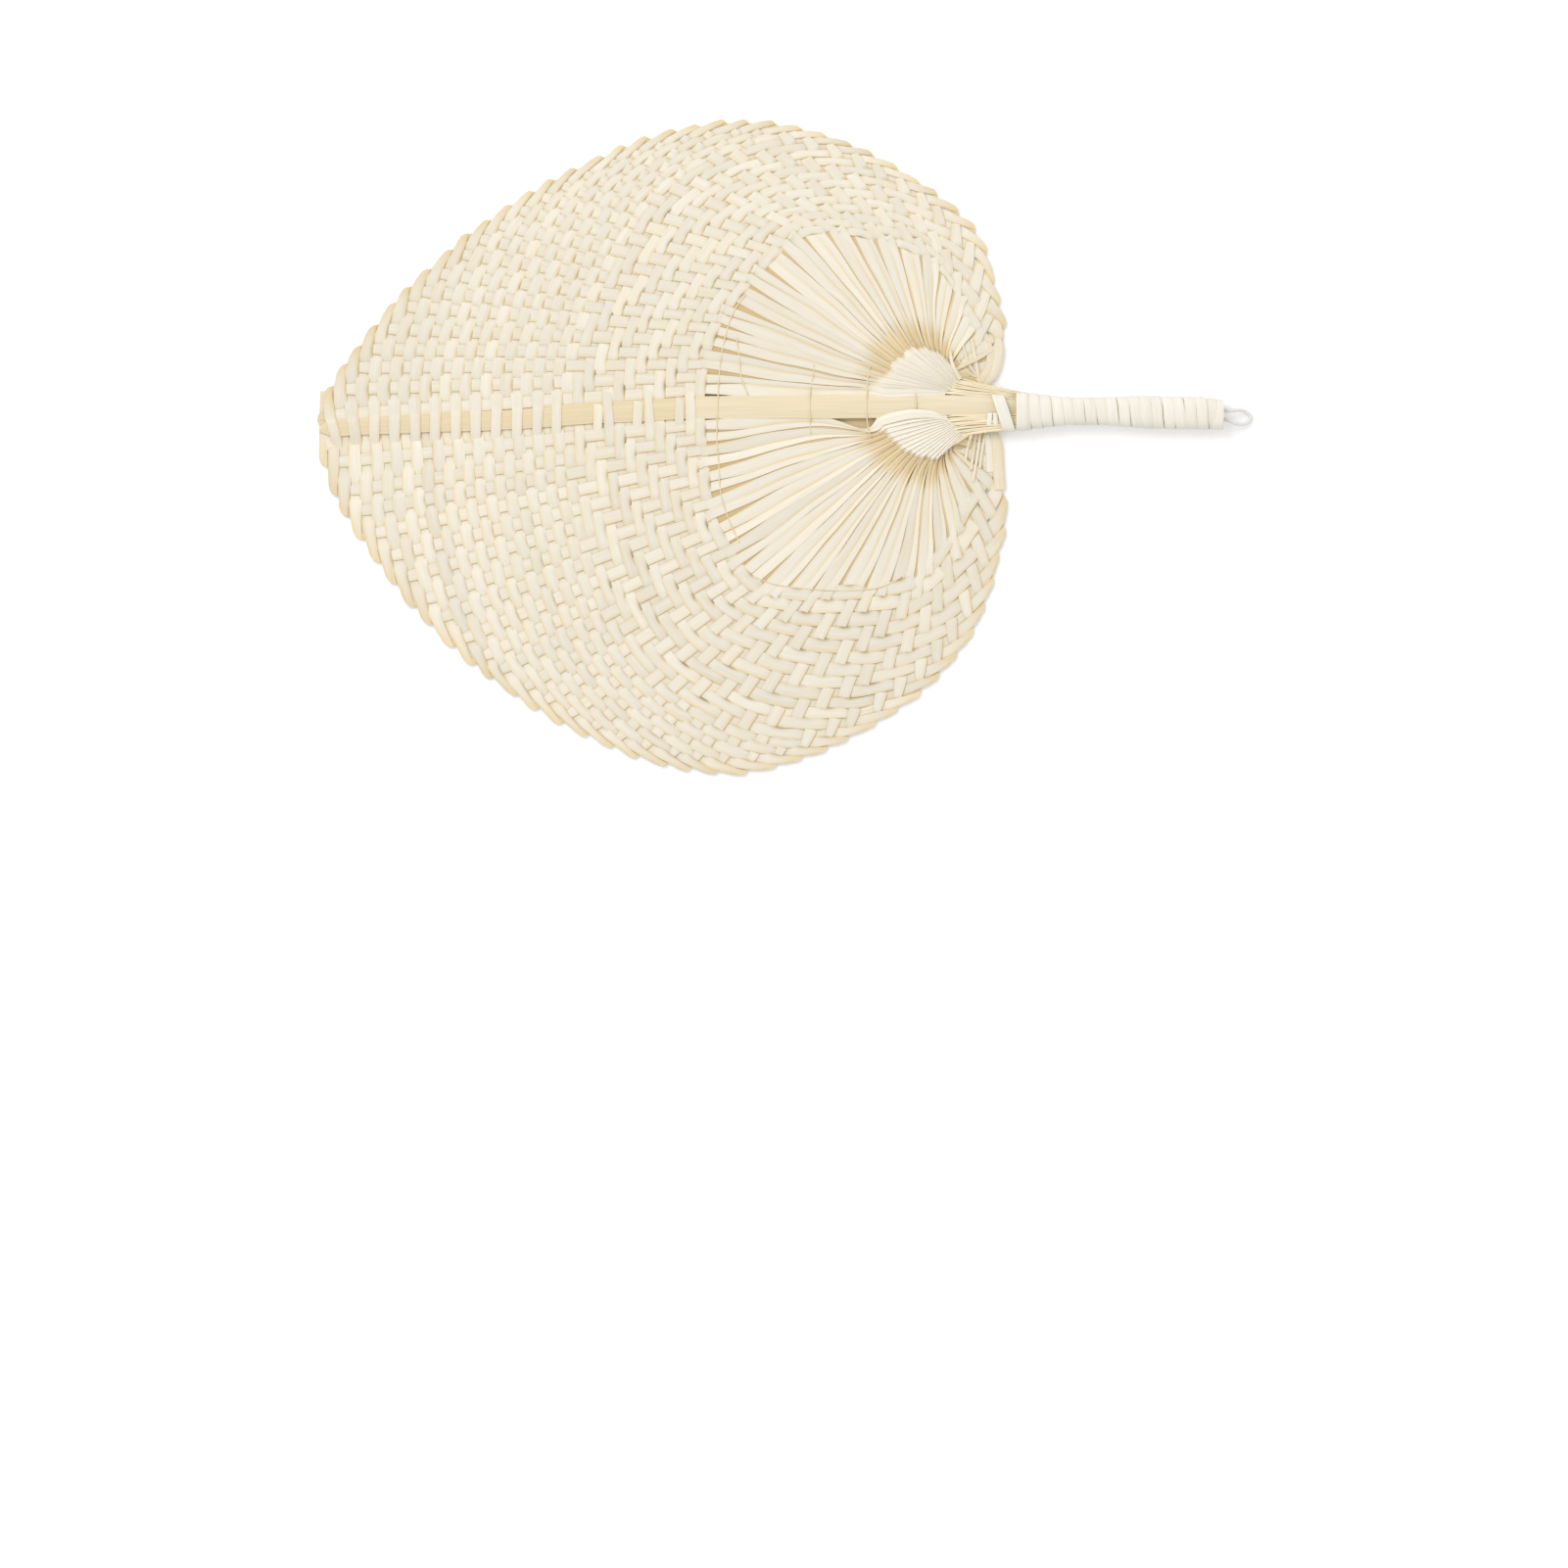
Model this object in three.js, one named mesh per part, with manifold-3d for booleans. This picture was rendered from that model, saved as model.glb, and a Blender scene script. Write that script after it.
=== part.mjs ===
// Palm leaf hand fan, lying face up on a table. Millimetres, +Z up, handle towards +X.
// The blade is one split palm leaf: on each side of the midrib every leaflet runs out from a pleated root
// to a tooth of the rim, folds over there and comes back as an arc that weaves through its neighbours.

import * as THREE from 'three';
import { mergeVertices } from 'three/addons/utils/BufferGeometryUtils.js';
import Module from 'manifold-3d';

const kernel = await Module();
kernel.setup();

// Blade: reaches from the neck and from the handle's axis
const BLADE_LENGTH = 268.5;
const UPPER_REACH = 111.5;
const LOWER_REACH = 139;
const TIP_DROP = 10.5;

// Leaflets
const LEAFLETS_PER_SIDE = 24;
const LEAF_THICKNESS = 0.35;
const WIDEST_LEAFLET = 5.2;
const WEAVE_COVER = 0.62;
const OPEN_COVER = 0.7;
const TOOTH_INSET = 2.2;
const CLEARANCE = 0.3;
const WAVE_SPARE = 0.34;

// Pleated roots
const PLEAT_HEIGHT = 0.7;
const ROOT_SHEET = 0.5;
const ROOT_GATHER = 12;
const GATHER_WIDTH = 4;
const TAIL_LENGTH = 4;
const TAIL_HEIGHT = 4;
const LAST_PLEAT = 0.42;

// Midrib
const MIDRIB_WIDTH = 8.6;
const MIDRIB_TIP_WIDTH = 5.2;
const MIDRIB_THICKNESS = 2.4;
const MIDRIB_WOVEN_THICKNESS = 1;
const MIDRIB_RISE = 9.4;
const MIDRIB_TIP_DROP = 6.5;
const MIDRIB_TIP_TAPER = 0.7;
const MIDRIB_EASE = 0.6;
const NECK_OFFSET = 0.6;
const TONGUE_WIDTH = 5.2;
const TONGUE_LENGTH = 25;

// Handle
const HANDLE_LENGTH = 80;
const NECK_HALF_WIDTH = 7.3;
const WAIST_HALF_WIDTH = 5.3;
const GRIP_HALF_WIDTH = 6.2;
const END_HALF_WIDTH = 5.2;
const HANDLE_OVAL = 0.8;
const WRAP_THICKNESS = 0.9;
const WRAP_WIDTH = 3.75;
const WRAP_GAP = 0.55;
const WRAP_START = 0.7;
const WRAP_STEPS = 16;
const REST_CUT = 0.5;

// Neck tie, rib threads and hanging loop
const TIE_WIDTH = 4;
const TIE_THICKNESS = 0.6;
const TIE_LEAN = 4;
const TIE_PLACE = 4.4;
const TIE_STEPS = 24;
const TIE_GAP = 0.06;
const THREAD_DIAMETER = 0.4;
const CORD_DIAMETER = 1.5;
const CORD_SEAT = 4;

// Outlines of the two sides: shares of the blade's length from the neck, and of the side's reach
const UPPER_RIM = [
  [0.969, 0.117], [0.861, 0.439], [0.715, 0.721], [0.526, 0.942], [0.377, 1], [0.242, 0.932],
  [0.116, 0.762], [0.049, 0.606], [0.02, 0.379], [0.012, 0.286], [0.032, 0.132],
];
const LOWER_RIM = [
  [0.954, 0.287], [0.844, 0.572], [0.711, 0.787], [0.553, 0.946], [0.397, 1], [0.248, 0.916],
  [0.122, 0.758], [0.049, 0.572], [0.012, 0.319], [0.012, 0.24], [0.03, 0.108],
];
const UPPER_INNER = [
  [0.447, 0.018], [0.44, 0.205], [0.407, 0.368], [0.328, 0.575], [0.275, 0.623], [0.209, 0.606],
  [0.143, 0.558], [0.09, 0.447], [0.032, 0.132],
];
const LOWER_INNER = [
  [0.447, -0.014], [0.44, 0.217], [0.421, 0.344], [0.375, 0.473], [0.307, 0.502], [0.175, 0.484],
  [0.122, 0.432], [0.083, 0.319], [0.03, 0.108],
];
const UPPER_HUB = [
  [0.19, 0.074], [0.182, 0.127], [0.168, 0.198], [0.143, 0.232], [0.109, 0.198], [0.074, 0.122],
];
const LOWER_HUB = [
  [0.195, 0.03], [0.182, 0.093], [0.147, 0.147], [0.112, 0.155], [0.084, 0.112], [0.073, 0.088],
];

// Where things lie along the blade, as shares of its length from the neck
const WEAVE_INNER_END = 0.447;
const WEAVE_TIP_END = 0.984;
const MIDRIB_END = 0.99;
const HUB_SHARE = 0.19;
const TWILL_FROM = 0.66;
const FIRST_GAP = 0.35;
const OPEN_STATION = 0.3;
const LONGEST_ENTRY = 0.4;
const SHARPEST_MITRE = 0.5;

// Where the midrib's and the core's sections lie, as shares of the blade's and the handle's length
const MIDRIB_SECTIONS = [0.97, 0.86, 0.74, 0.6, WEAVE_INNER_END, 0.36, 0.27, HUB_SHARE, 0.12, 0.09];
const SWELL_SECTIONS = [0.5, 0.58];
const END_SECTIONS = [0.96, 1];

// Faces round the core, its holes, a thread and the cord, and how far a cut runs past a face
const CORE_SIDES = 16;
const HOLE_SIDES = 8;
const THREAD_SIDES = 4;
const CORD_SIDES = 8;
const CUT_PAST = 1;

// Where the handle's widths lie along it, as shares of its length
const WAIST_FROM = 0.28;
const WAIST_TO = 0.4;
const GRIP_FROM = 0.65;
const GRIP_TO = 0.9;

// The threads: how far out along the open ribs, and how many ribs of each side they hold
const THREADS = [
  { share: 0.82, upperRibs: 6, lowerRibs: 12 },
  { share: 0.45, upperRibs: 3, lowerRibs: 4 },
  { share: 0.2, upperRibs: 3, lowerRibs: 4 },
];

// The hanging loop's route from the handle's end: along, across and up from its axis
const LOOP_ROUTE = [
  [-4, 0.2, 0], [-2, 0.2, 0], [0, 0.2, 0], [2.2, 0.25, -0.3], [4.4, 0.4, -1.1], [6.4, 0.5, -2.1],
  [8.2, 0.2, -2.9], [9.8, -0.8, -3.4], [10.7, -2.3, -3.6], [9.8, -3.8, -3.4], [8.2, -4.8, -2.9],
  [6.4, -5, -2.1], [4.4, -4.5, -1.1], [2.2, -3.6, -0.3], [0, -3, 0], [-2, -3, 0], [-4, -3, 0],
];

// Colours from the photograph
function finish(name, color, roughness) {
  return new THREE.MeshStandardMaterial({ name, color, roughness, metalness: 0 });
}

const LEAF = finish('leaf', 0xefe4c9, 0.6);
const ROOT = finish('root', 0xefe6cf, 0.62);
const RIB = finish('rib', 0xdcc58f, 0.5);
const BINDING = finish('binding', 0xf0e7d3, 0.6);
const THREAD = finish('thread', 0xc8a869, 0.7);
const CORD = finish('cord', 0xf3f2ee, 0.8);

// Heights worked out from the sizes above
const WAVE = (1 + WAVE_SPARE) * (LEAF_THICKNESS + CLEARANCE) / (2 * (1 - WEAVE_COVER));
const RIM_HEIGHT = WAVE + LEAF_THICKNESS / 2;
const HANDLE_HEIGHT = GRIP_HALF_WIDTH * HANDLE_OVAL - REST_CUT;

// Mixes two values
function mix(a, b, share) {
  return a + (b - a) * share;
}

// A smooth line through [place, value] stations
function through(stations, place) {
  const next = stations.findIndex(([at]) => at > place);
  if (next === 0) return stations[0][1];
  if (next < 0) return stations[stations.length - 1][1];
  const [from, low] = stations[next - 1];
  const [to, high] = stations[next];
  return mix(low, high, THREE.MathUtils.smoothstep(place, from, to));
}

// A closed solid through rings of points, with its ends capped or joined to each other
function loft(rings, joined = false) {
  const count = rings[0].length;
  const points = rings.flat();
  const index = [];
  const spans = joined ? rings.length : rings.length - 1;
  for (let ring = 0; ring < spans; ring += 1) {
    const here = ring * count;
    const there = ((ring + 1) % rings.length) * count;
    for (let corner = 0; corner < count; corner += 1) {
      const after = (corner + 1) % count;
      index.push(here + corner, here + after, there + after);
      index.push(here + corner, there + after, there + corner);
    }
  }
  if (!joined) {
    const last = (rings.length - 1) * count;
    for (let corner = 1; corner < count - 1; corner += 1) {
      index.push(0, corner + 1, corner);
      index.push(last, last + corner, last + corner + 1);
    }
  }
  return solid(points, index);
}

// A geometry from points and triangles, turned so that its faces look outwards
function solid(points, index) {
  let volume = 0;
  for (let i = 0; i < index.length; i += 3) {
    const [a, b, c] = [points[index[i]], points[index[i + 1]], points[index[i + 2]]];
    volume += a.dot(b.clone().cross(c));
  }
  const geometry = new THREE.BufferGeometry();
  const places = points.flatMap((point) => point.toArray());
  geometry.setAttribute('position', new THREE.Float32BufferAttribute(places, 3));
  geometry.setIndex(volume > 0 ? index : index.toReversed());
  return geometry;
}

// To and from the boolean kernel
function toKernel(shape) {
  const geometry = shape.clone();
  geometry.deleteAttribute('normal');
  geometry.deleteAttribute('uv');
  return manifoldOf(mergeVertices(geometry));
}

function manifoldOf(geometry) {
  const vertProperties = new Float32Array(geometry.getAttribute('position').array);
  const triVerts = new Uint32Array(geometry.getIndex().array);
  return new kernel.Manifold(new kernel.Mesh({ numProp: 3, vertProperties, triVerts }));
}

function fromKernel(body) {
  const mesh = body.getMesh();
  const geometry = new THREE.BufferGeometry();
  const places = new THREE.Float32BufferAttribute(mesh.vertProperties, mesh.numProp);
  geometry.setAttribute('position', places);
  geometry.setIndex([...mesh.triVerts]);
  return geometry;
}

// The blade sags from the neck so that its rim lies on the table
function bladeHeight(share) {
  const left = 1 - THREE.MathUtils.clamp(share, 0, 1);
  return mix(RIM_HEIGHT, HANDLE_HEIGHT, left * left);
}

// The midrib's centre, half width and half thickness at a place along the part
function midribCentre(x) {
  if (x > 0) return NECK_OFFSET * Math.max(0, 1 - x / (2 * TAIL_LENGTH));
  const share = -x / BLADE_LENGTH;
  const fall = MIDRIB_RISE + NECK_OFFSET + MIDRIB_TIP_DROP;
  return NECK_OFFSET + MIDRIB_RISE * share - fall * share * share;
}

function midribHalfWidth(x) {
  const gather = -ROOT_GATHER / BLADE_LENGTH;
  return through([
    [-MIDRIB_END, MIDRIB_TIP_WIDTH / 2],
    [-HUB_SHARE, MIDRIB_WIDTH / 2],
    [2 * gather, MIDRIB_WIDTH / 2],
    [0, TONGUE_WIDTH / 2],
  ], x / BLADE_LENGTH);
}

function midribHalfThickness(x) {
  return through([
    [-WEAVE_INNER_END, MIDRIB_WOVEN_THICKNESS / 2],
    [-HUB_SHARE, MIDRIB_THICKNESS / 2],
  ], x / BLADE_LENGTH);
}

function midribHeight(x) {
  return bladeHeight((-x / BLADE_LENGTH - HUB_SHARE) / (1 - HUB_SHARE));
}

// The handle's outer half width, binding included
function handleHalfWidth(x) {
  return through([
    [0, NECK_HALF_WIDTH],
    [WAIST_FROM * HANDLE_LENGTH, WAIST_HALF_WIDTH],
    [WAIST_TO * HANDLE_LENGTH, WAIST_HALF_WIDTH],
    [GRIP_FROM * HANDLE_LENGTH, GRIP_HALF_WIDTH],
    [GRIP_TO * HANDLE_LENGTH, GRIP_HALF_WIDTH],
    [HANDLE_LENGTH, END_HALF_WIDTH],
  ], x);
}

// The handle's outer half height: the neck is spread wider than the grip but no higher
function handleHalfHeight(x) {
  return HANDLE_OVAL * Math.min(GRIP_HALF_WIDTH, handleHalfWidth(x));
}

// A point on an oval round the handle, a depth below the binding's surface
function handlePoint(x, angle, depth) {
  const y = (handleHalfWidth(x) - depth) * Math.cos(angle);
  const z = HANDLE_HEIGHT + (handleHalfHeight(x) - depth) * Math.sin(angle);
  return new THREE.Vector3(x, y, z);
}

// One side of the blade: its rim, weave edge and hub as curves, and the grid of crossings between them
function bladeSide(name, sign, reach, rimShape, innerShape, hubShape) {
  const place = ([along, across]) => new THREE.Vector2(-along * BLADE_LENGTH, sign * across * reach);
  const tip = new THREE.Vector2(-BLADE_LENGTH, -TIP_DROP);
  const rim = new THREE.SplineCurve([tip, ...rimShape.map(place)]);
  const inner = new THREE.SplineCurve(innerShape.map(place));
  const hub = new THREE.SplineCurve(hubShape.map(place));
  const last = LEAFLETS_PER_SIDE;
  const hubs = [null];
  const inners = [null];
  const teeth = [null];
  for (let j = 1; j <= last; j += 1) {
    const root = hub.getPointAt((j - 0.5) / last);
    const edge = inner.getPointAt((j + FIRST_GAP) / (last + FIRST_GAP));
    const tooth = rim.getPointAt(j / last);
    tooth.addScaledVector(root.clone().sub(tooth).normalize(), TOOTH_INSET);
    hubs.push(root);
    inners.push(j === last ? tooth.clone() : edge);
    teeth.push(tooth);
  }
  return { name, sign, hub, hubs, inners, teeth, last };
}

// Where arc k crosses leaflet j, with j = 0 for the midrib
function crossing(side, j, k) {
  if (j === 0) {
    const share = mix(WEAVE_TIP_END, WEAVE_INNER_END, (k - 1) / (side.last - 1));
    const x = -share * BLADE_LENGTH;
    return new THREE.Vector2(x, midribCentre(x));
  }
  if (j === side.last) return side.teeth[j].clone();
  return side.teeth[j].clone().lerp(side.inners[j], (k - j) / (side.last - j));
}

function crossingHeight(side, j, k) {
  const at = crossing(side, j, k);
  const root = side.hubs[j];
  return bladeHeight(at.distanceTo(root) / side.teeth[j].distanceTo(root));
}

// +1 where the arc passes over the leaflet: plain weave towards the tip, two-over twill by the open ribs
function over(j, k) {
  const twill = k > TWILL_FROM * LEAFLETS_PER_SIDE;
  const sum = j + k;
  if (twill) return sum % 4 < 2 ? 1 : -1;
  return sum % 2 === 0 ? 1 : -1;
}

// The distance from a line through a point to a neighbouring point
function offLine(point, direction, other) {
  return Math.abs(other.clone().sub(point).cross(direction));
}

// The room for a leaflet and for an arc where they cross, and the share of it that they fill,
// which is less where they lean
function crossingRoom(side, j, k) {
  const at = crossing(side, j, k);
  const leaf = side.teeth[j].clone().sub(side.hubs[j]).normalize();
  const arc = crossing(side, Math.min(j + 1, k), k).sub(crossing(side, j - 1, k)).normalize();
  const besideLeaf = [];
  if (j > 1) besideLeaf.push(offLine(at, leaf, crossing(side, j - 1, k)));
  if (j < k) besideLeaf.push(offLine(at, leaf, crossing(side, j + 1, k)));
  const besideArc = [];
  if (k > j) besideArc.push(offLine(at, arc, crossing(side, j, k - 1)));
  if (k < side.last) besideArc.push(offLine(at, arc, crossing(side, j, k + 1)));
  const leafRoom = Math.min(...besideLeaf);
  const arcRoom = Math.min(...besideArc);
  const lean = Math.abs(leaf.dot(arc)) * (leafRoom / arcRoom + arcRoom / leafRoom) / 2;
  return { leafRoom, arcRoom, cover: WEAVE_COVER / (1 + lean) };
}

function leafletWidth(side, j, k) {
  const { leafRoom, cover } = crossingRoom(side, j, k);
  return Math.min(WIDEST_LEAFLET, cover * leafRoom);
}

function arcWidth(side, j, k) {
  const { arcRoom, cover } = crossingRoom(side, j, k);
  return Math.min(WIDEST_LEAFLET, cover * arcRoom);
}

// A leaflet among the open ribs, a share of the way from its pleat to the weave
function openStation(side, j, share) {
  const at = side.hubs[j].clone().lerp(side.inners[j], share);
  const along = side.inners[j].clone().sub(side.hubs[j]).normalize();
  const rooms = [];
  for (const beside of [j - 1, j + 1]) {
    if (beside < 1 || beside > side.last) continue;
    rooms.push(offLine(at, along, side.hubs[beside].clone().lerp(side.inners[beside], share)));
  }
  const width = Math.min(WIDEST_LEAFLET, OPEN_COVER * Math.min(...rooms));
  const reach = side.teeth[j].distanceTo(side.hubs[j]);
  return { at, height: bladeHeight(at.distanceTo(side.hubs[j]) / reach), width };
}

// A flat strip along plan points with their heights and widths, mitred where it turns
function strip(stations, thickness) {
  const rings = stations.map(({ at, height, width }, i) => {
    const before = stations[Math.max(0, i - 1)].at;
    const after = stations[Math.min(stations.length - 1, i + 1)].at;
    const arriving = (i > 0 ? at.clone().sub(before) : after.clone().sub(at)).normalize();
    const atEnd = i === stations.length - 1;
    const leaving = (atEnd ? at.clone().sub(before) : after.clone().sub(at)).normalize();
    const along = arriving.clone().add(leaving).normalize();
    const reach = width / 2 / Math.max(SHARPEST_MITRE, along.dot(arriving));
    const left = new THREE.Vector2(-along.y, along.x).multiplyScalar(reach);
    const corner = (side, level) => new THREE.Vector3(
      at.x + side * left.x, at.y + side * left.y, height + level * thickness / 2,
    );
    return [corner(1, 1), corner(-1, 1), corner(-1, -1), corner(1, -1)];
  });
  return loft(rings);
}

// Shares of the open ribs' length with a station: the last is just inside the weave's edge
function openShares(side, j) {
  const open = side.inners[j].distanceTo(side.hubs[j]);
  const pitch = side.teeth[j].distanceTo(side.inners[j]) / Math.max(1, side.last - j);
  const entry = 1 - Math.min(LONGEST_ENTRY, pitch / open);
  return [OPEN_STATION, entry];
}

// The outgoing run of a leaflet: from its pleat, through the open ribs and the weave, to its tooth
function outgoing(side, j) {
  const root = side.hubs[j];
  const outward = side.inners[j].clone().sub(root).normalize();
  const edge = side.hub.getTangentAt((j - 0.5) / side.last);
  const width = OPEN_COVER * side.hub.getLength() / side.last;
  const square = Math.abs(edge.cross(outward));
  const start = (2 * CLEARANCE + width / 2 * Math.abs(edge.dot(outward))) / square;
  const at = root.clone().addScaledVector(outward, start);
  const stations = [{ at, height: HANDLE_HEIGHT + PLEAT_HEIGHT, width: width * square }];
  for (const share of openShares(side, j)) stations.push(openStation(side, j, share));
  for (let k = side.last; k > j; k -= 1) {
    const height = crossingHeight(side, j, k) - WAVE * over(j, k);
    stations.push({ at: crossing(side, j, k), height, width: leafletWidth(side, j, k) });
  }
  return stations;
}

// The returning run: an arc from the tooth, through the inner leaflets, to the midrib and across it
function returning(side, k) {
  const stations = [];
  for (let j = k - 1; j >= 1; j -= 1) {
    const height = crossingHeight(side, j, k) + WAVE * over(j, k);
    stations.push({ at: crossing(side, j, k), height, width: arcWidth(side, j, k) });
  }
  const middle = crossing(side, 0, k);
  const fold = { at: side.teeth[k], height: RIM_HEIGHT, width: endWidth(side, k) };
  const previous = stations.length ? stations[stations.length - 1] : fold;
  const width = previous.width;
  const onwards = middle.clone().sub(previous.at).normalize();
  const firstLeaflet = stations.length ? leafletWidth(side, 1, k) / 2 : 0;
  const crossesMidrib = (k % 2 === 1) === (side.sign > 0);
  if (crossesMidrib) {
    const past = midribHalfWidth(middle.x) + 2 * CLEARANCE;
    const lift = midribHalfThickness(middle.x) + CLEARANCE + LEAF_THICKNESS / 2;
    const height = midribHeight(middle.x) + over(0, k) * lift;
    for (const reach of [-past, past + CLEARANCE]) {
      stations.push({ at: middle.clone().addScaledVector(onwards, reach), height, width });
    }
  } else {
    const at = previous.at.clone().addScaledVector(onwards, firstLeaflet + 2 * CLEARANCE);
    stations.push({ at, height: previous.height, width });
  }
  return stations;
}

// The strip's width where it folds over at its tooth
function endWidth(side, j) {
  const arriving = j < side.last ? leafletWidth(side, j, j + 1) : WIDEST_LEAFLET;
  const leaving = j > 1 ? arcWidth(side, j - 1, j) : arriving;
  return Math.min(arriving, leaving);
}

function leaflet(side, j) {
  const fold = { at: side.teeth[j], height: RIM_HEIGHT, width: endWidth(side, j) };
  return strip([...outgoing(side, j), fold, ...returning(side, j)], LEAF_THICKNESS);
}

// The side of a root that lies along the midrib, and the room that the binding leaves for its tail
function besideMidrib(side, x) {
  return midribCentre(x) + side.sign * (midribHalfWidth(x) + CLEARANCE);
}

function tailOuter(side, x) {
  const wall = WRAP_THICKNESS + CLEARANCE;
  const room = handleHalfHeight(x) - wall;
  return side.sign * (handleHalfWidth(x) - wall) * Math.sqrt(1 - (TAIL_HEIGHT / 2 / room) ** 2);
}

// A root's outer side between its gather and the binding
function rootOuter(side, x) {
  const gathered = besideMidrib(side, -ROOT_GATHER) + side.sign * GATHER_WIDTH;
  return mix(gathered, tailOuter(side, WRAP_START), (x + ROOT_GATHER) / (WRAP_START + ROOT_GATHER));
}

// A pleated root: one fold for each leaflet, gathered beside the midrib into a tail under the binding
function pleatedRoot(side) {
  const columns = 2 * side.last;
  const places = [-ROOT_GATHER, WRAP_START, TAIL_LENGTH];
  const outer = [
    rootOuter(side, -ROOT_GATHER), tailOuter(side, WRAP_START), tailOuter(side, TAIL_LENGTH),
  ];
  const rows = [[], [], [], []];
  for (let i = 0; i <= columns; i += 1) {
    const share = i / columns;
    rows[0].push(side.hub.getPointAt(Math.min(share, 1 - LAST_PLEAT / side.last)));
    places.forEach((x, r) => {
      rows[r + 1].push(new THREE.Vector2(x, mix(besideMidrib(side, x), outer[r], share)));
    });
  }
  const half = [ROOT_SHEET / 2, TAIL_HEIGHT / 3, TAIL_HEIGHT / 2, TAIL_HEIGHT / 2];
  const pleat = [PLEAT_HEIGHT, 0, 0, 0];
  const points = [];
  for (const face of [1, -1]) {
    rows.forEach((row, r) => row.forEach((at, i) => {
      const fold = i % 2 === 1 ? pleat[r] : -pleat[r];
      points.push(new THREE.Vector3(at.x, at.y, HANDLE_HEIGHT + face * half[r] + fold));
    }));
  }
  return solid(points, sheetFaces(rows.length, columns + 1));
}

// Triangles of a closed sheet: a top grid, a bottom grid and the wall round them
function sheetFaces(rowCount, columnCount) {
  const index = [];
  const bottom = rowCount * columnCount;
  const at = (row, column) => row * columnCount + column;
  for (let r = 0; r < rowCount - 1; r += 1) {
    for (let c = 0; c < columnCount - 1; c += 1) {
      const [a, b, d, e] = [at(r, c), at(r, c + 1), at(r + 1, c + 1), at(r + 1, c)];
      index.push(a, b, d, a, d, e);
      index.push(bottom + a, bottom + d, bottom + b, bottom + a, bottom + e, bottom + d);
    }
  }
  const border = [];
  for (let c = 0; c < columnCount - 1; c += 1) border.push(at(0, c));
  for (let r = 0; r < rowCount - 1; r += 1) border.push(at(r, columnCount - 1));
  for (let c = columnCount - 1; c > 0; c -= 1) border.push(at(rowCount - 1, c));
  for (let r = rowCount - 1; r > 0; r -= 1) border.push(at(r, 0));
  border.forEach((from, i) => {
    const to = border[(i + 1) % border.length];
    index.push(from, bottom + from, bottom + to, from, bottom + to, to);
  });
  return index;
}

// The midrib: a flat tapering strip with eased edges, ending in a tongue inside the handle
function midrib() {
  const places = [MIDRIB_END, ...MIDRIB_SECTIONS].map((share) => -share * BLADE_LENGTH);
  places.push(-ROOT_GATHER, -ROOT_GATHER / 2, 0, TAIL_LENGTH, 2 * TAIL_LENGTH, TONGUE_LENGTH);
  const rings = places.map((x, i) => {
    const half = midribHalfWidth(x) * (i === 0 ? MIDRIB_TIP_TAPER : 1);
    const thick = midribHalfThickness(x);
    const ease = thick * MIDRIB_EASE;
    const [y, z] = [midribCentre(x), midribHeight(x)];
    const section = [
      [half, -thick + ease], [half, thick - ease], [half - ease, thick], [-half + ease, thick],
      [-half, thick - ease], [-half, -thick + ease], [-half + ease, -thick], [half - ease, -thick],
    ];
    return section.map(([across, up]) => new THREE.Vector3(x, y + across, z + up));
  });
  return loft(rings);
}

// The handle's core: an oval stalk with a slot for the midrib's tongue and two holes for the hanging loop
function handleCore() {
  const depth = WRAP_THICKNESS + CLEARANCE;
  const start = TAIL_LENGTH + CLEARANCE;
  const places = [start];
  const shares = [
    WAIST_FROM / 2, WAIST_FROM, WAIST_TO, ...SWELL_SECTIONS, GRIP_FROM, GRIP_TO, ...END_SECTIONS,
  ];
  for (const share of shares) places.push(share * HANDLE_LENGTH);
  const rings = places.map((x) => {
    const ring = [];
    for (let i = 0; i < CORE_SIDES; i += 1) {
      ring.push(handlePoint(x, 2 * Math.PI * i / CORE_SIDES, depth));
    }
    return ring;
  });
  let body = toKernel(loft(rings));
  const slotLength = TONGUE_LENGTH + CLEARANCE - start + CUT_PAST;
  const slotWidth = TONGUE_WIDTH + 2 * CLEARANCE + NECK_OFFSET;
  const slot = new THREE.BoxGeometry(slotLength, slotWidth, MIDRIB_THICKNESS + 2 * CLEARANCE);
  slot.translate(start - CUT_PAST + slotLength / 2, 0, HANDLE_HEIGHT);
  body = body.subtract(toKernel(slot));
  for (const end of [LOOP_ROUTE[0], LOOP_ROUTE[LOOP_ROUTE.length - 1]]) {
    const radius = CORD_DIAMETER / 2 + CLEARANCE;
    const length = CORD_SEAT + CLEARANCE + CUT_PAST;
    const hole = new THREE.CylinderGeometry(radius, radius, length, HOLE_SIDES).rotateZ(Math.PI / 2);
    hole.translate(HANDLE_LENGTH + CUT_PAST - length / 2, end[1], HANDLE_HEIGHT + end[2]);
    body = body.subtract(toKernel(hole));
  }
  return fromKernel(body);
}

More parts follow.
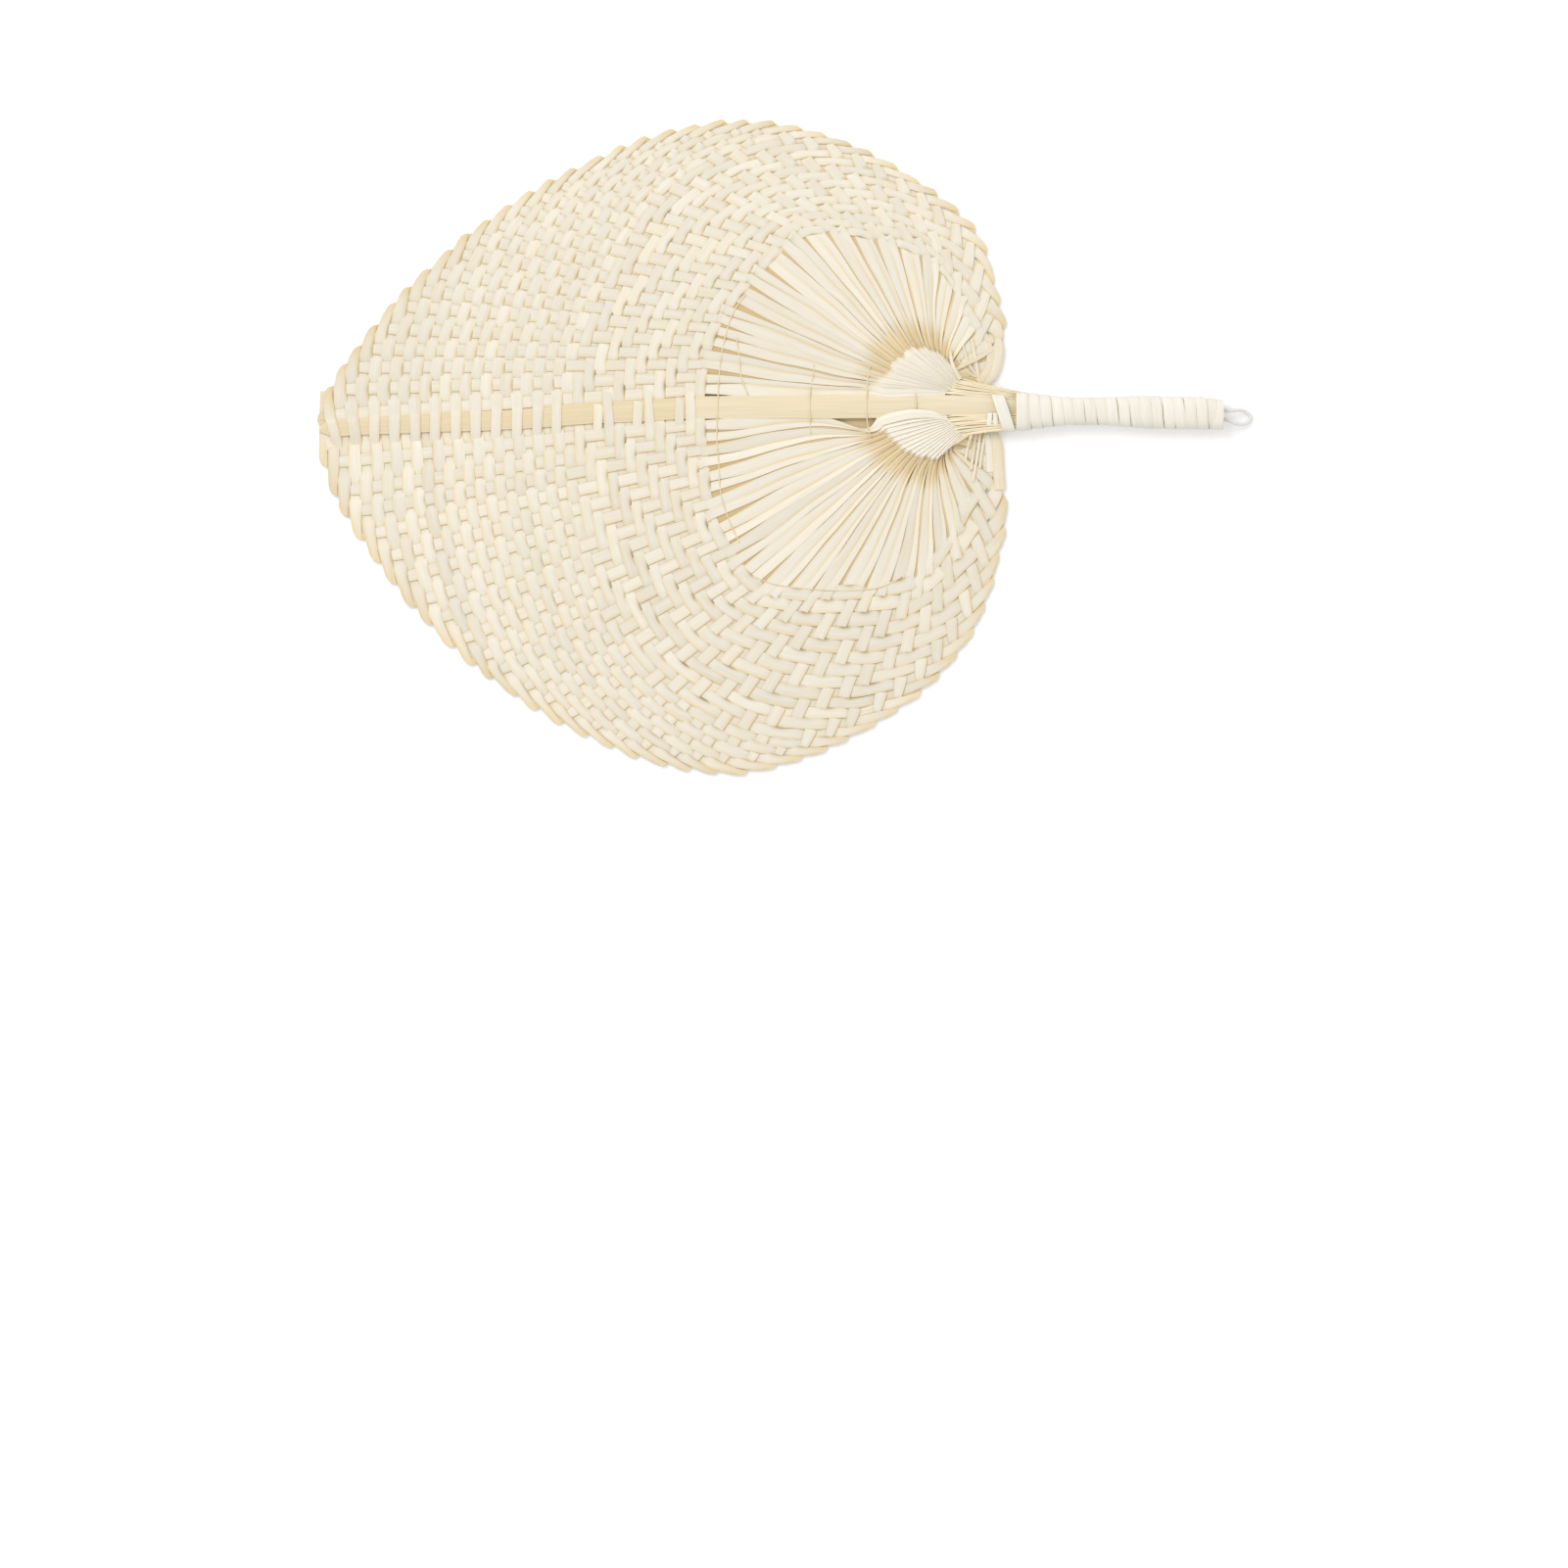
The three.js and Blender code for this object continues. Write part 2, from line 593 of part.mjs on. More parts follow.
// The handle's binding: one ribbon wound round the core, flat underneath where the fan lies on the table
function handleWrap() {
  const pitch = WRAP_WIDTH + WRAP_GAP;
  const first = WRAP_START + WRAP_WIDTH / 2;
  const steps = Math.floor((HANDLE_LENGTH - first - WRAP_WIDTH / 2) / pitch * WRAP_STEPS);
  const rings = [];
  for (let i = 0; i <= steps; i += 1) {
    const x = first + pitch * i / WRAP_STEPS;
    const angle = 2 * Math.PI * (i + 0.5) / WRAP_STEPS - Math.PI / 2;
    const corners = [[-1, WRAP_THICKNESS], [1, WRAP_THICKNESS], [1, 0], [-1, 0]];
    rings.push(corners.map(([side, depth]) => handlePoint(x + side * WRAP_WIDTH / 2, angle, depth)));
  }
  rings.unshift(straightEnd(rings[0], rings[1]));
  rings.push(straightEnd(rings[rings.length - 1], rings[rings.length - 2]));
  const turns = (steps / WRAP_STEPS).toFixed(1);
  const gap = leastGap(rings, WRAP_STEPS).toFixed(2);
  console.log(`handle_wrap: ${turns} turns, least gap to itself ${gap} mm`);
  const table = new THREE.BoxGeometry(2 * HANDLE_LENGTH, 4 * NECK_HALF_WIDTH, HANDLE_HEIGHT);
  table.translate(HANDLE_LENGTH / 2, 0, -HANDLE_HEIGHT / 2);
  return fromKernel(toKernel(loft(rings)).subtract(toKernel(table)));
}

// A ring one thickness beyond an end ring, straight on from the ring before it
function straightEnd(end, before) {
  return end.map((point, i) => {
    const onwards = point.clone().sub(before[i]).normalize();
    return point.clone().addScaledVector(onwards, WRAP_THICKNESS);
  });
}

// The least distance between points of a winding that lie more than half a turn apart
function leastGap(rings, steps) {
  let least = Infinity;
  rings.forEach((ring, i) => {
    const end = Math.min(rings.length, i + 2 * steps);
    for (let other = i + Math.ceil(steps / 2); other < end; other += 1) {
      for (const a of ring) {
        for (const b of rings[other]) least = Math.min(least, a.distanceTo(b));
      }
    }
  });
  return least;
}

// Bends an oval towards a rounded box
function squarer(value) {
  return Math.sign(value) * Math.sqrt(Math.abs(value));
}

// The neck tie: one turn of leaf strip that leans across the neck, its ends meeting underneath
function neckTie(upper, lower) {
  const ends = [upper, lower].map((side) => {
    const x = -TIE_PLACE - side.sign * TIE_LEAN;
    const off = 2 * CLEARANCE + TIE_THICKNESS / 2 + TIE_WIDTH / 4;
    const y = rootOuter(side, x - TIE_WIDTH / 2) + side.sign * off;
    return new THREE.Vector2(x, y);
  });
  const centre = ends[0].clone().add(ends[1]).multiplyScalar(0.5);
  const half = ends[0].clone().sub(ends[1]).multiplyScalar(0.5);
  const rise = TAIL_HEIGHT / 2 + PLEAT_HEIGHT + 2 * CLEARANCE + TIE_THICKNESS / 2;
  const across = new THREE.Vector2(-half.y, half.x).normalize().multiplyScalar(TIE_WIDTH / 2);
  const rings = [];
  for (let i = 0; i <= TIE_STEPS; i += 1) {
    const angle = mix(TIE_GAP - Math.PI / 2, 1.5 * Math.PI - TIE_GAP, i / TIE_STEPS);
    const ring = [[-1, -1], [1, -1], [1, 1], [-1, 1]].map(([side, face]) => {
      const grow = face * TIE_THICKNESS / 2;
      const along = squarer(Math.cos(angle)) * (1 + grow / half.length());
      const x = centre.x + half.x * along + side * across.x;
      const y = centre.y + half.y * along + side * across.y;
      return new THREE.Vector3(x, y, HANDLE_HEIGHT + squarer(Math.sin(angle)) * (rise + grow));
    });
    rings.push(ring);
  }
  return loft(rings);
}

// A point on an open rib, between its stations
function alongRib(side, j, share) {
  const stations = outgoing(side, j);
  const at = side.hubs[j].clone().lerp(side.inners[j], share);
  const reach = at.distanceTo(side.hubs[j]);
  const next = stations.findIndex((station) => station.at.distanceTo(side.hubs[j]) > reach);
  const [from, to] = [stations[next - 1], stations[next]];
  const part = at.distanceTo(from.at) / to.at.distanceTo(from.at);
  return { at, height: mix(from.height, to.height, part) };
}

// A thread looped over and under the open ribs, a share of the way out from the hub, across the midrib
function ribThread(upper, lower, { share, upperRibs, lowerRibs }) {
  const radius = THREAD_DIAMETER / 2;
  const off = CLEARANCE + radius;
  const ribs = [];
  const addRib = (side, j) => {
    const { at, height } = alongRib(side, j, share);
    ribs.push({ at, height, rise: LEAF_THICKNESS / 2 + off });
  };
  for (let j = upperRibs; j >= 1; j -= 1) addRib(upper, j);
  const middle = ribs[ribs.length - 1].at.x;
  for (const edge of [1, -1]) {
    const half = midribHalfWidth(middle) + off;
    const at = new THREE.Vector2(middle, midribCentre(middle) + edge * half);
    ribs.push({ at, height: midribHeight(middle), rise: midribHalfThickness(middle) + off });
  }
  for (let j = 1; j <= lowerRibs; j += 1) addRib(lower, j);
  const over = ribs.map(({ at, height, rise }) => new THREE.Vector3(at.x, at.y, height + rise));
  const under = ribs.map(({ at, height, rise }) => new THREE.Vector3(at.x, at.y, height - rise));
  const turn = [threadTurn(lower, lowerRibs, share, off), threadTurn(upper, upperRibs, share, off)];
  const route = [...over, ...turn[0], ...under.reverse(), ...turn[1].reverse()];
  const rings = route.map((point, i) => {
    const before = route[(i + route.length - 1) % route.length];
    const after = route[(i + 1) % route.length];
    const along = after.clone().sub(before).normalize();
    const outward = new THREE.Vector3(-1, 0, 0).addScaledVector(along, along.x).normalize();
    const up = along.clone().cross(outward);
    const ring = [];
    for (let s = 0; s < THREAD_SIDES; s += 1) {
      const angle = 2 * Math.PI * s / THREAD_SIDES;
      const spoke = outward.clone().multiplyScalar(Math.cos(angle)).addScaledVector(up, Math.sin(angle));
      ring.push(point.clone().addScaledVector(spoke, radius));
    }
    return ring;
  });
  return loft(rings, true);
}

// Where a thread turns down round its outermost rib, half way to the next one
function threadTurn(side, j, share, off) {
  const rib = alongRib(side, j, share);
  const next = alongRib(side, j + 1, share);
  const at = rib.at.clone().lerp(next.at, 0.5);
  const rise = LEAF_THICKNESS / 2 + off;
  const height = mix(rib.height, next.height, 0.5);
  return [rise, -rise].map((up) => new THREE.Vector3(at.x, at.y, height + up));
}

// The hanging loop: a short cord out of the handle's end and back into it
function hangingLoop() {
  const route = LOOP_ROUTE.map(([along, across, up]) => (
    new THREE.Vector3(HANDLE_LENGTH + along, across, HANDLE_HEIGHT + up)
  ));
  const path = new THREE.CatmullRomCurve3(route);
  const section = new THREE.Shape();
  for (let i = 0; i < CORD_SIDES; i += 1) {
    const angle = 2 * Math.PI * i / CORD_SIDES;
    const [x, y] = [Math.cos(angle), Math.sin(angle)].map((part) => part * CORD_DIAMETER / 2);
    if (i === 0) section.moveTo(x, y);
    else section.lineTo(x, y);
  }
  section.closePath();
  const options = { steps: 2 * route.length, bevelEnabled: false, extrudePath: path };
  return new THREE.ExtrudeGeometry(section, options);
}

// The assembly
const upper = bladeSide('upper', 1, UPPER_REACH, UPPER_RIM, UPPER_INNER, UPPER_HUB);
const lower = bladeSide('lower', -1, LOWER_REACH, LOWER_RIM, LOWER_INNER, LOWER_HUB);
const fan = new THREE.Group();
fan.name = 'palm_leaf_fan';

function add(name, geometry, material) {
  const mesh = new THREE.Mesh(geometry, material);
  mesh.name = name;
  fan.add(mesh);
}

for (const side of [upper, lower]) {
  add(`pleated_root_${side.name}`, pleatedRoot(side), ROOT);
  for (let j = 1; j <= side.last; j += 1) {
    add(`leaflet_${side.name}_${String(j).padStart(2, '0')}`, leaflet(side, j), LEAF);
  }
}
add('midrib', midrib(), RIB);
add('handle_core', handleCore(), RIB);
add('handle_wrap', handleWrap(), BINDING);
add('neck_tie', neckTie(upper, lower), BINDING);
THREADS.forEach((thread, i) => add(`rib_thread_${i + 1}`, ribThread(upper, lower, thread), THREAD));

// The origin is under the middle of the fan, its loop left out, on the table
const box = new THREE.Box3().setFromObject(fan);
const centre = box.getCenter(new THREE.Vector3());
add('hanging_loop', hangingLoop(), CORD);
for (const mesh of fan.children) {
  mesh.geometry.translate(-centre.x, -centre.y, -box.min.z);
}

export default fan;
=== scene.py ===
import math
from functools import partial

import bpy
import numpy as np
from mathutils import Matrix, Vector


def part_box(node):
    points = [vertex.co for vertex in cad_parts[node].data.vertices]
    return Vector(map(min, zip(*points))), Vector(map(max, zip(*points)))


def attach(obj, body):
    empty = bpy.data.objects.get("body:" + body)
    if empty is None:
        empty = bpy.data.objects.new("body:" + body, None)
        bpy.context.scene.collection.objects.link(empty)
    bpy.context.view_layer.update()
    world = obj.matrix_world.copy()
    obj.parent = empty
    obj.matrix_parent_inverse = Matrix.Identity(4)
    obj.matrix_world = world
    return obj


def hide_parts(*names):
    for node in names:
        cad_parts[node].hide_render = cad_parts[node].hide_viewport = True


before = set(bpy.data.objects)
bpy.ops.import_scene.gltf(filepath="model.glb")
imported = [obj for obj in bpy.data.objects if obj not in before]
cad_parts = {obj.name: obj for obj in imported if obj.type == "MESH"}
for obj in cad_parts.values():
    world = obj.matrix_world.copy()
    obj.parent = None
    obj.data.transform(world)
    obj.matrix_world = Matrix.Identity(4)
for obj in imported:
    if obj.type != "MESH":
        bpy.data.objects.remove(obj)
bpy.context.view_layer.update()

# Lengths below are in millimetres, with the neck of the fan at the origin, the handle along +X and the
# blade along -X. MM turns them into metres, and ORIGIN places them in the frame of the solids.
MM = 0.001
HANDLE_LENGTH = 80.0
HANDLE_HEIGHT = 4.46
core_low, core_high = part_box("handle_core")
ORIGIN = np.array([core_high.x / MM - HANDLE_LENGTH, (core_low.y + core_high.y) / 2 / MM, 0.0])
UP = np.array([0.0, 0.0, 1.0])
AXIAL = np.array([1.0, 0.0, 0.0])
FULL_TURN = 2 * math.pi
SIDES = ("upper", "lower")

# Camera
PHOTO_SIZE = 1601
PHOTO_SCALE = 0.375
PHOTO_NECK = (1035.0, 420.4)
CAMERA_HEIGHT = 3000.0
CAMERA_REACH = 20.0
SENSOR = 36.0


def photo_point(px, py):
    """The place on the fan that a pixel of the photo shows."""
    return np.array([(px - PHOTO_NECK[0]) * PHOTO_SCALE, (PHOTO_NECK[1] - py) * PHOTO_SCALE])


def to_frame(points):
    return (np.asarray(points, float) + ORIGIN) * MM


scene = bpy.context.scene
scene.view_settings.view_transform = "Standard"
middle = photo_point(PHOTO_SIZE / 2, PHOTO_SIZE / 2)
camera_data = bpy.data.cameras.new("camera")
camera_data.sensor_width = SENSOR
camera_data.lens = SENSOR * CAMERA_HEIGHT / (PHOTO_SIZE * PHOTO_SCALE)
camera_data.clip_end = CAMERA_REACH
camera = bpy.data.objects.new("camera", camera_data)
camera.location = to_frame([middle[0], middle[1], CAMERA_HEIGHT])
scene.collection.objects.link(camera)
scene.camera = camera


# Small maths
join = np.concatenate
seeded = np.random.default_rng


def mix(a, b, t):
    return a + (b - a) * t


def smooth(t):
    t = np.clip(t, 0.0, 1.0)
    return t * t * (3.0 - 2.0 * t)


def bump(x, middle, width):
    return np.exp(-((x - middle) / width) ** 2)


def length(v):
    return np.linalg.norm(v, axis=-1)


def unit(v):
    return v / np.maximum(length(v)[..., None], 1e-9)


def turned(v):
    """A flat vector turned left by a quarter."""
    return np.stack([-v[..., 1], v[..., 0]], -1)


def raised(points, heights):
    """Flat points, each at its height."""
    return join([points, np.broadcast_to(heights, (len(points),))[:, None]], 1)


def sideways(half_widths):
    """Vectors along Y."""
    return np.stack([0 * half_widths, half_widths, 0 * half_widths], -1)


def column(value, n):
    """One value, or a value for each of n rings, as a column."""
    return np.broadcast_to(np.asarray(value, float), (n,))[:, None]


def run_length(points):
    """How far along its line each point lies."""
    return np.append(0, np.cumsum(length(np.diff(points, axis=0))))


def eased(values, reach):
    """The running mean of values, over as many as reach on each side."""
    count = 2 * reach + 1
    return np.convolve(np.pad(values, reach, mode="edge"), np.ones(count) / count, "valid")


def catmull(points, t):
    """Points of the uniform Catmull-Rom curve at the places t, counted in points from the first."""
    p = np.asarray(points, float)
    t = np.clip(np.asarray(t, float), 0, len(p) - 1)
    i = np.minimum(t.astype(int), len(p) - 2)
    f = (t - i)[:, None]
    a, b, c, d = p[np.maximum(i - 1, 0)], p[i], p[i + 1], p[np.minimum(i + 2, len(p) - 1)]
    return b + 0.5 * f * (c - a + f * (2 * a - 5 * b + 4 * c - d + f * (3 * (b - c) + d - a)))


class Line:
    """A smooth line through points, read by its share of arc length."""

    STEPS = 60

    def __init__(self, points):
        self.p = catmull(points, np.linspace(0, len(points) - 1, self.STEPS * len(points)))
        self.s = run_length(self.p)
        self.length = self.s[-1]

    def at(self, share):
        d = np.asarray(share, float) * self.length
        return np.stack([np.interp(d, self.s, self.p[:, i]) for i in range(self.p.shape[1])], -1)


def steps(table, x):
    """Smooth steps through a table of (x, value)."""
    x = np.asarray(x, float)
    out = np.full(x.shape, float(table[0][1]))
    for (a, va), (b, vb) in zip(table, table[1:]):
        out = np.where(x >= a, mix(va, vb, smooth((x - a) / (b - a))), out)
    return out


def wander(seed, x, size, waves=4):
    """A slow seeded wobble along x."""
    r = seeded(seed)
    x = np.asarray(x, float)
    out = np.zeros(x.shape)
    for n in range(1, waves + 1):
        out = out + np.sin(x * n * r.uniform(0.7, 1.3) + r.uniform(0, 6.28)) * r.uniform(0.4, 1.0) / n
    return out * size


def srgb(colour):
    """The linear colour of a screen colour."""
    c = np.array(colour) / 255.0
    c = np.where(c <= 0.04045, c / 12.92, ((c + 0.055) / 1.055) ** 2.4)
    return (*c.tolist(), 1.0)


# Materials
SPECULAR = 0.3
NOISE_DETAIL, NOISE_ROUGHNESS = 4.0, 0.6
BLOTCH_GAIN, BLOTCH_SHIFT = 0.7, -0.35
GRAIN_FROM, GRAIN_TO = 0.3, 0.7
BUMP_DISTANCE = 0.0002


def add_node(tree, kind, inputs=(), **properties):
    """Adds a node, its inputs filled with values or fed by other nodes' outputs, and returns its outputs."""
    node = tree.nodes.new(kind)
    for key, value in properties.items():
        setattr(node, key, value)
    for key, value in dict(inputs).items():
        if isinstance(value, bpy.types.NodeSocket):
            tree.links.new(value, node.inputs[key])
        else:
            node.inputs[key].default_value = value
    return node.outputs


def new_material(name):
    """An empty material, and a function that adds nodes to it."""
    m = bpy.data.materials.new(name)
    m.use_nodes = True
    m.node_tree.nodes.clear()
    return m, partial(add_node, m.node_tree)


def fibre_material(
    name, pale, stain, streak=0.1, rough=(0.42, 0.66), bump=0.35, coarse=(26, 520), fine=(90, 2600)
):
    """Dried plant fibre: streaks run along each strip, and the look attribute carries shade and stain, which
    on some pieces also hold painted light and shade.
    """
    m, add = new_material(name)
    uv = add("ShaderNodeUVMap", uv_map="fibre")[0]
    look = add("ShaderNodeAttribute", attribute_name="look")["Color"]
    shade, stained = add("ShaderNodeSeparateColor", {0: look})[:2]
    noises = []
    for scale in (coarse, fine):
        place = add("ShaderNodeMapping", {0: uv, "Scale": (*scale, 1.0)})[0]
        values = {0: place, "Scale": 1.0, "Detail": NOISE_DETAIL, "Roughness": NOISE_ROUGHNESS}
        noises.append(add("ShaderNodeTexNoise", values)[0])
    values = {0: noises[0], 1: BLOTCH_GAIN, 2: BLOTCH_SHIFT}
    blotch = add("ShaderNodeMath", values, operation="MULTIPLY_ADD")[0]
    amount = add("ShaderNodeMath", {0: stained, 1: blotch}, operation="ADD", use_clamp=True)[0]
    colour = add("ShaderNodeMix", {0: amount, 6: srgb(pale), 7: srgb(stain)}, data_type="RGBA")[2]
    values = {"From Min": GRAIN_FROM, "From Max": GRAIN_TO, "To Min": 1.0 - streak, "To Max": 1.0}
    grain = add("ShaderNodeMapRange", {0: noises[1], **values})[0]
    level = add("ShaderNodeMath", {0: grain, 1: shade}, operation="MULTIPLY")[0]
    tone = add("ShaderNodeVectorMath", {0: colour, "Scale": level}, operation="SCALE")[0]
    gloss = add("ShaderNodeMapRange", {0: noises[0], "To Min": rough[0], "To Max": rough[1]})[0]
    lumps = add("ShaderNodeBump", {"Strength": bump, "Distance": BUMP_DISTANCE, "Height": noises[1]})[0]
    values = {"Specular IOR Level": SPECULAR, "Base Color": tone, "Roughness": gloss, "Normal": lumps}
    add("ShaderNodeOutputMaterial", {0: add("ShaderNodeBsdfPrincipled", values)[0]})
    return m


LEAF = fibre_material("leaf_fibre", (247, 240, 224), (239, 212, 150))
# The underside's darker tan is partly painted shade, for the gaps it shows through.
SHADED_UNDERLEAF = fibre_material("shaded_leaf_underside", (244, 226, 184), (212, 182, 126), streak=0.14)
ROOT = fibre_material("leaf_base", (252, 243, 216), (234, 203, 146), bump=0.4)
RIB = fibre_material(
    "midrib_cane", (247, 234, 202), (222, 190, 130), streak=0.14, coarse=(10, 900), fine=(30, 3600)
)
BINDING = fibre_material("binding_strip", (250, 246, 234), (228, 210, 168), coarse=(30, 700))
STALK = fibre_material("stalk_wood", (228, 206, 150), (150, 112, 58), streak=0.35, bump=0.6)
THREAD = fibre_material(
    "stitch_thread", (248, 234, 200), (220, 192, 138), streak=0.2, coarse=(300, 300), fine=(1500, 3000)
)
CORD = fibre_material(
    "white_cord", (250, 250, 248), (240, 238, 232),
    streak=0.2, rough=(0.7, 0.9), coarse=(300, 300), fine=(900, 2200),
)

# Pieces, whose look is a pair: shade, and stain between 0 and 1; on the leaflets both also carry painted
# light and shade
EDGE_THINNING = 0.72
# Edge tints: partly the leaf's own yellowish edges, partly painted shade in the seams; what the underside
# takes is painted shade.
LEFT_EDGE_TINT_AND_SHADE, RIGHT_EDGE_TINT_AND_SHADE, UNDER_SHADE = 0.5, 1.5, 0.8
# Painted shadow along the edges of runs darkens them and tints them tan by this much.
SLIT_SHADOW_TINT = 1.6
STRIP_ALONG, STRIP_ACROSS, TUBE_SHIFT = 37.7, 11.3, 0.0377
STRIP_SHARP, ROUND_SHARP = 50, 80


def look_rows(n, shade, stain):
    return join([column(shade, n), np.clip(column(stain, n), 0, 1)], 1)


class Piece:
    """One mesh of closed strips and tubes, with fibre coordinates and a look for every vertex."""

    TOP = np.array([-1.0, -0.5, 0.0, 0.5, 1.0])
    UNDER = np.array([1.0, 0.0, -1.0])
    ACROSS = join([TOP, UNDER])
    FACING = join([np.ones(len(TOP)), -np.ones(len(UNDER))])
    AT_LEFT = np.clip(-ACROSS, 0, 1) ** 3
    AT_RIGHT = np.clip(ACROSS, 0, 1) ** 3

    def __init__(self):
        self.verts, self.faces, self.uv, self.look, self.count = [], [], [], [], 0
        self.strips = 0

    def add(self, rings, uv, look, closed=False):
        """Joins rings of points into a skin, with a cap at each end unless it closes into a hoop."""
        n, ring = rings.shape[:2]
        index = np.arange(n * ring).reshape(n, ring)
        beside = np.roll(index, -1, 1)
        quads = []
        for i in range(n if closed else n - 1):
            after = (i + 1) % n
            quads.append(np.stack([index[i], beside[i], beside[after], index[after]], -1))
        quads = join(quads)
        flat = rings.reshape(-1, 3)
        a, b, c, d = (flat[quads[:, i]] - flat.mean(0) for i in range(4))
        volume = np.einsum("ij,ij->i", a, np.cross(b, c) + np.cross(c, d)).sum()
        faces = quads.tolist()
        if not closed:
            faces += [index[0][::-1].tolist(), index[-1].tolist()]
        if volume < 0:
            faces = [f[::-1] for f in faces]
        self.faces += [[v + self.count for v in f] for f in faces]
        self.verts.append(flat)
        self.uv.append(uv.reshape(-1, 2))
        self.look.append(look)
        self.count += n * ring
        self.strips += 1

    def strip(self, left, right, up, thick, look, crown=0.0, closed=False, edge=0.0, bow=None, slit=None):
        """A strip from its left and right edges: five points across the top, three below. Edge is the tint of
        both edges or of each, partly painted shade in the seams, and painted shade all over the underside;
        bow pushes the middle aside, and the last argument paints a shadow along each edge of the top."""
        n, v, up = len(left), self.ACROSS, np.broadcast_to(up, left.shape)
        across, middle = right - left, (left + right) / 2
        width = length(across)[:, None]
        thinning = np.where(np.abs(v) == 1, EDGE_THINNING, 1.0)
        lift = self.FACING * column(thick, n) / 2 * thinning + column(crown, n) * (1 - v * v)
        rings = middle[:, None] + across[:, None] * (v / 2)[None, :, None] + up[:, None] * lift[..., None]
        if bow is not None:
            rings = rings + bow[:, None] * (1 - v * v)[None, :, None]
        along = np.broadcast_to(run_length(middle)[:, None], (n, len(v))) + self.strips * STRIP_ALONG
        uv = np.stack([along, width / 2 * v + self.strips * STRIP_ACROSS], -1) * MM
        look = np.repeat(look_rows(n, *look)[:, None], len(v), 1)
        edge_tints_and_shades = edge if isinstance(edge, tuple) else (LEFT_EDGE_TINT_AND_SHADE * edge, RIGHT_EDGE_TINT_AND_SHADE * edge)
        at_left, at_right = (column(e, n) for e in edge_tints_and_shades)
        rim = at_left * self.AT_LEFT + at_right * self.AT_RIGHT
        # Painted shade: the underside of each strip is tinted by both its edges.
        rim = np.where(self.FACING < 0, UNDER_SHADE * (at_left + at_right), rim)
        look[:, :, 1] = np.clip(look[:, :, 1] + rim, 0, 1)
        # Painted shadow: each edge of the top darkens and turns tan.
        if slit is not None:
            dim = slit[0][:, None] * self.AT_LEFT + slit[1][:, None] * self.AT_RIGHT
            dim = np.where(self.FACING > 0, dim, 0)
            look[:, :, 0] *= 1 - dim
            look[:, :, 1] = np.clip(look[:, :, 1] + SLIT_SHADOW_TINT * dim, 0, 1)
        self.add(rings, uv, look.reshape(-1, 2), closed)

    def band(self, centre, side, thick, look, **more):
        """A flat strip, from its middle line and the way from there to its right edge."""
        self.strip(centre - side, centre + side, UP, thick, look, **more)

    def tube(self, path, radius, look, sides):
        """A round tube along a path, with one radius or one for each point of each ring."""
        n = len(path)
        along = unit(np.gradient(path, axis=0))
        upright = np.zeros((n, 3))
        up = UP
        for i in range(n):
            up = unit(up - along[i] * up.dot(along[i]))
            upright[i] = up
        aside = np.cross(along, upright)
        turn = np.linspace(0, FULL_TURN, sides, endpoint=False)
        r = np.broadcast_to(np.asarray(radius, float), (n, sides))
        out = np.cos(turn)[:, None] * aside[:, None] + np.sin(turn)[:, None] * upright[:, None]
        rings = path[:, None] + r[..., None] * out
        run = np.broadcast_to(run_length(path)[:, None], (n, sides))
        uv = np.stack([run, np.broadcast_to(turn * np.mean(r), (n, sides))], -1) * MM
        self.add(rings, uv + self.strips * TUBE_SHIFT, look_rows(n * sides, *look))

    def make(self, name, material, slot, nodes=(), sharp=STRIP_SHARP):
        verts = join(self.verts)
        verts[:, 2] = np.maximum(verts[:, 2], 0.0)
        mesh = bpy.data.meshes.new(name)
        mesh.from_pydata(to_frame(verts).tolist(), [], self.faces)
        layer = mesh.uv_layers.new(name="fibre")
        loop_vertex = np.empty(len(mesh.loops), np.int32)
        mesh.loops.foreach_get("vertex_index", loop_vertex)
        layer.data.foreach_set("uv", join(self.uv)[loop_vertex].astype(np.float32).ravel())
        colour = mesh.attributes.new("look", "FLOAT_COLOR", "POINT")
        look = join(self.look)
        look = join([look, np.ones((len(look), 2))], 1)
        colour.data.foreach_set("color", look.astype(np.float32).ravel())
        mesh.shade_smooth()
        mesh.set_sharp_from_angle(angle=math.radians(sharp))
        mesh.materials.append(material)
        obj = bpy.data.objects.new(name, mesh)
        scene.collection.objects.link(obj)
        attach(obj, "root")
        if nodes:
            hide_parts(*nodes)
        return obj


# Hanging loop, on the route of its solid, from the middle of the handle's end
CORD_DIAMETER = 1.5
CORD_STEPS, CORD_SIDES = 220, 14
CORD_PLIES, PLY_LAY, PLY_RELIEF, PLY_ROUNDNESS = 3, 1.7, 0.16, 0.6
LOOP_ROUTE = [
    (-4, 0.2, 0), (-2, 0.2, 0), (0, 0.2, 0), (2.2, 0.25, -0.3), (4.4, 0.4, -1.1), (6.4, 0.5, -2.1),
    (8.2, 0.2, -2.9), (9.8, -0.8, -3.4), (10.7, -2.3, -3.6), (9.8, -3.8, -3.4), (8.2, -4.8, -2.9),
    (6.4, -5, -2.1), (4.4, -4.5, -1.1), (2.2, -3.6, -0.3), (0, -3, 0), (-2, -3, 0), (-4, -3, 0),
]
loop_points = np.array(LOOP_ROUTE, float) + [HANDLE_LENGTH, 0, HANDLE_HEIGHT]
loop_line = Line(loop_points)
loop_path = loop_line.at(np.linspace(0, 1, CORD_STEPS))
turn = np.linspace(0, FULL_TURN, CORD_SIDES, endpoint=False)
lay = np.linspace(0, loop_line.length / PLY_LAY, CORD_STEPS)[:, None] * FULL_TURN
ply = np.abs(np.cos((turn * CORD_PLIES + lay) / 2)) ** PLY_ROUNDNESS
cord_radius = CORD_DIAMETER / 2 * (1 - PLY_RELIEF + PLY_RELIEF * ply)
loop = Piece()
loop.tube(loop_path, cord_radius, (1.0, 0.05), CORD_SIDES)
loop = loop.make("cord_loop", CORD, "cord", ["hanging_loop"], ROUND_SHARP)

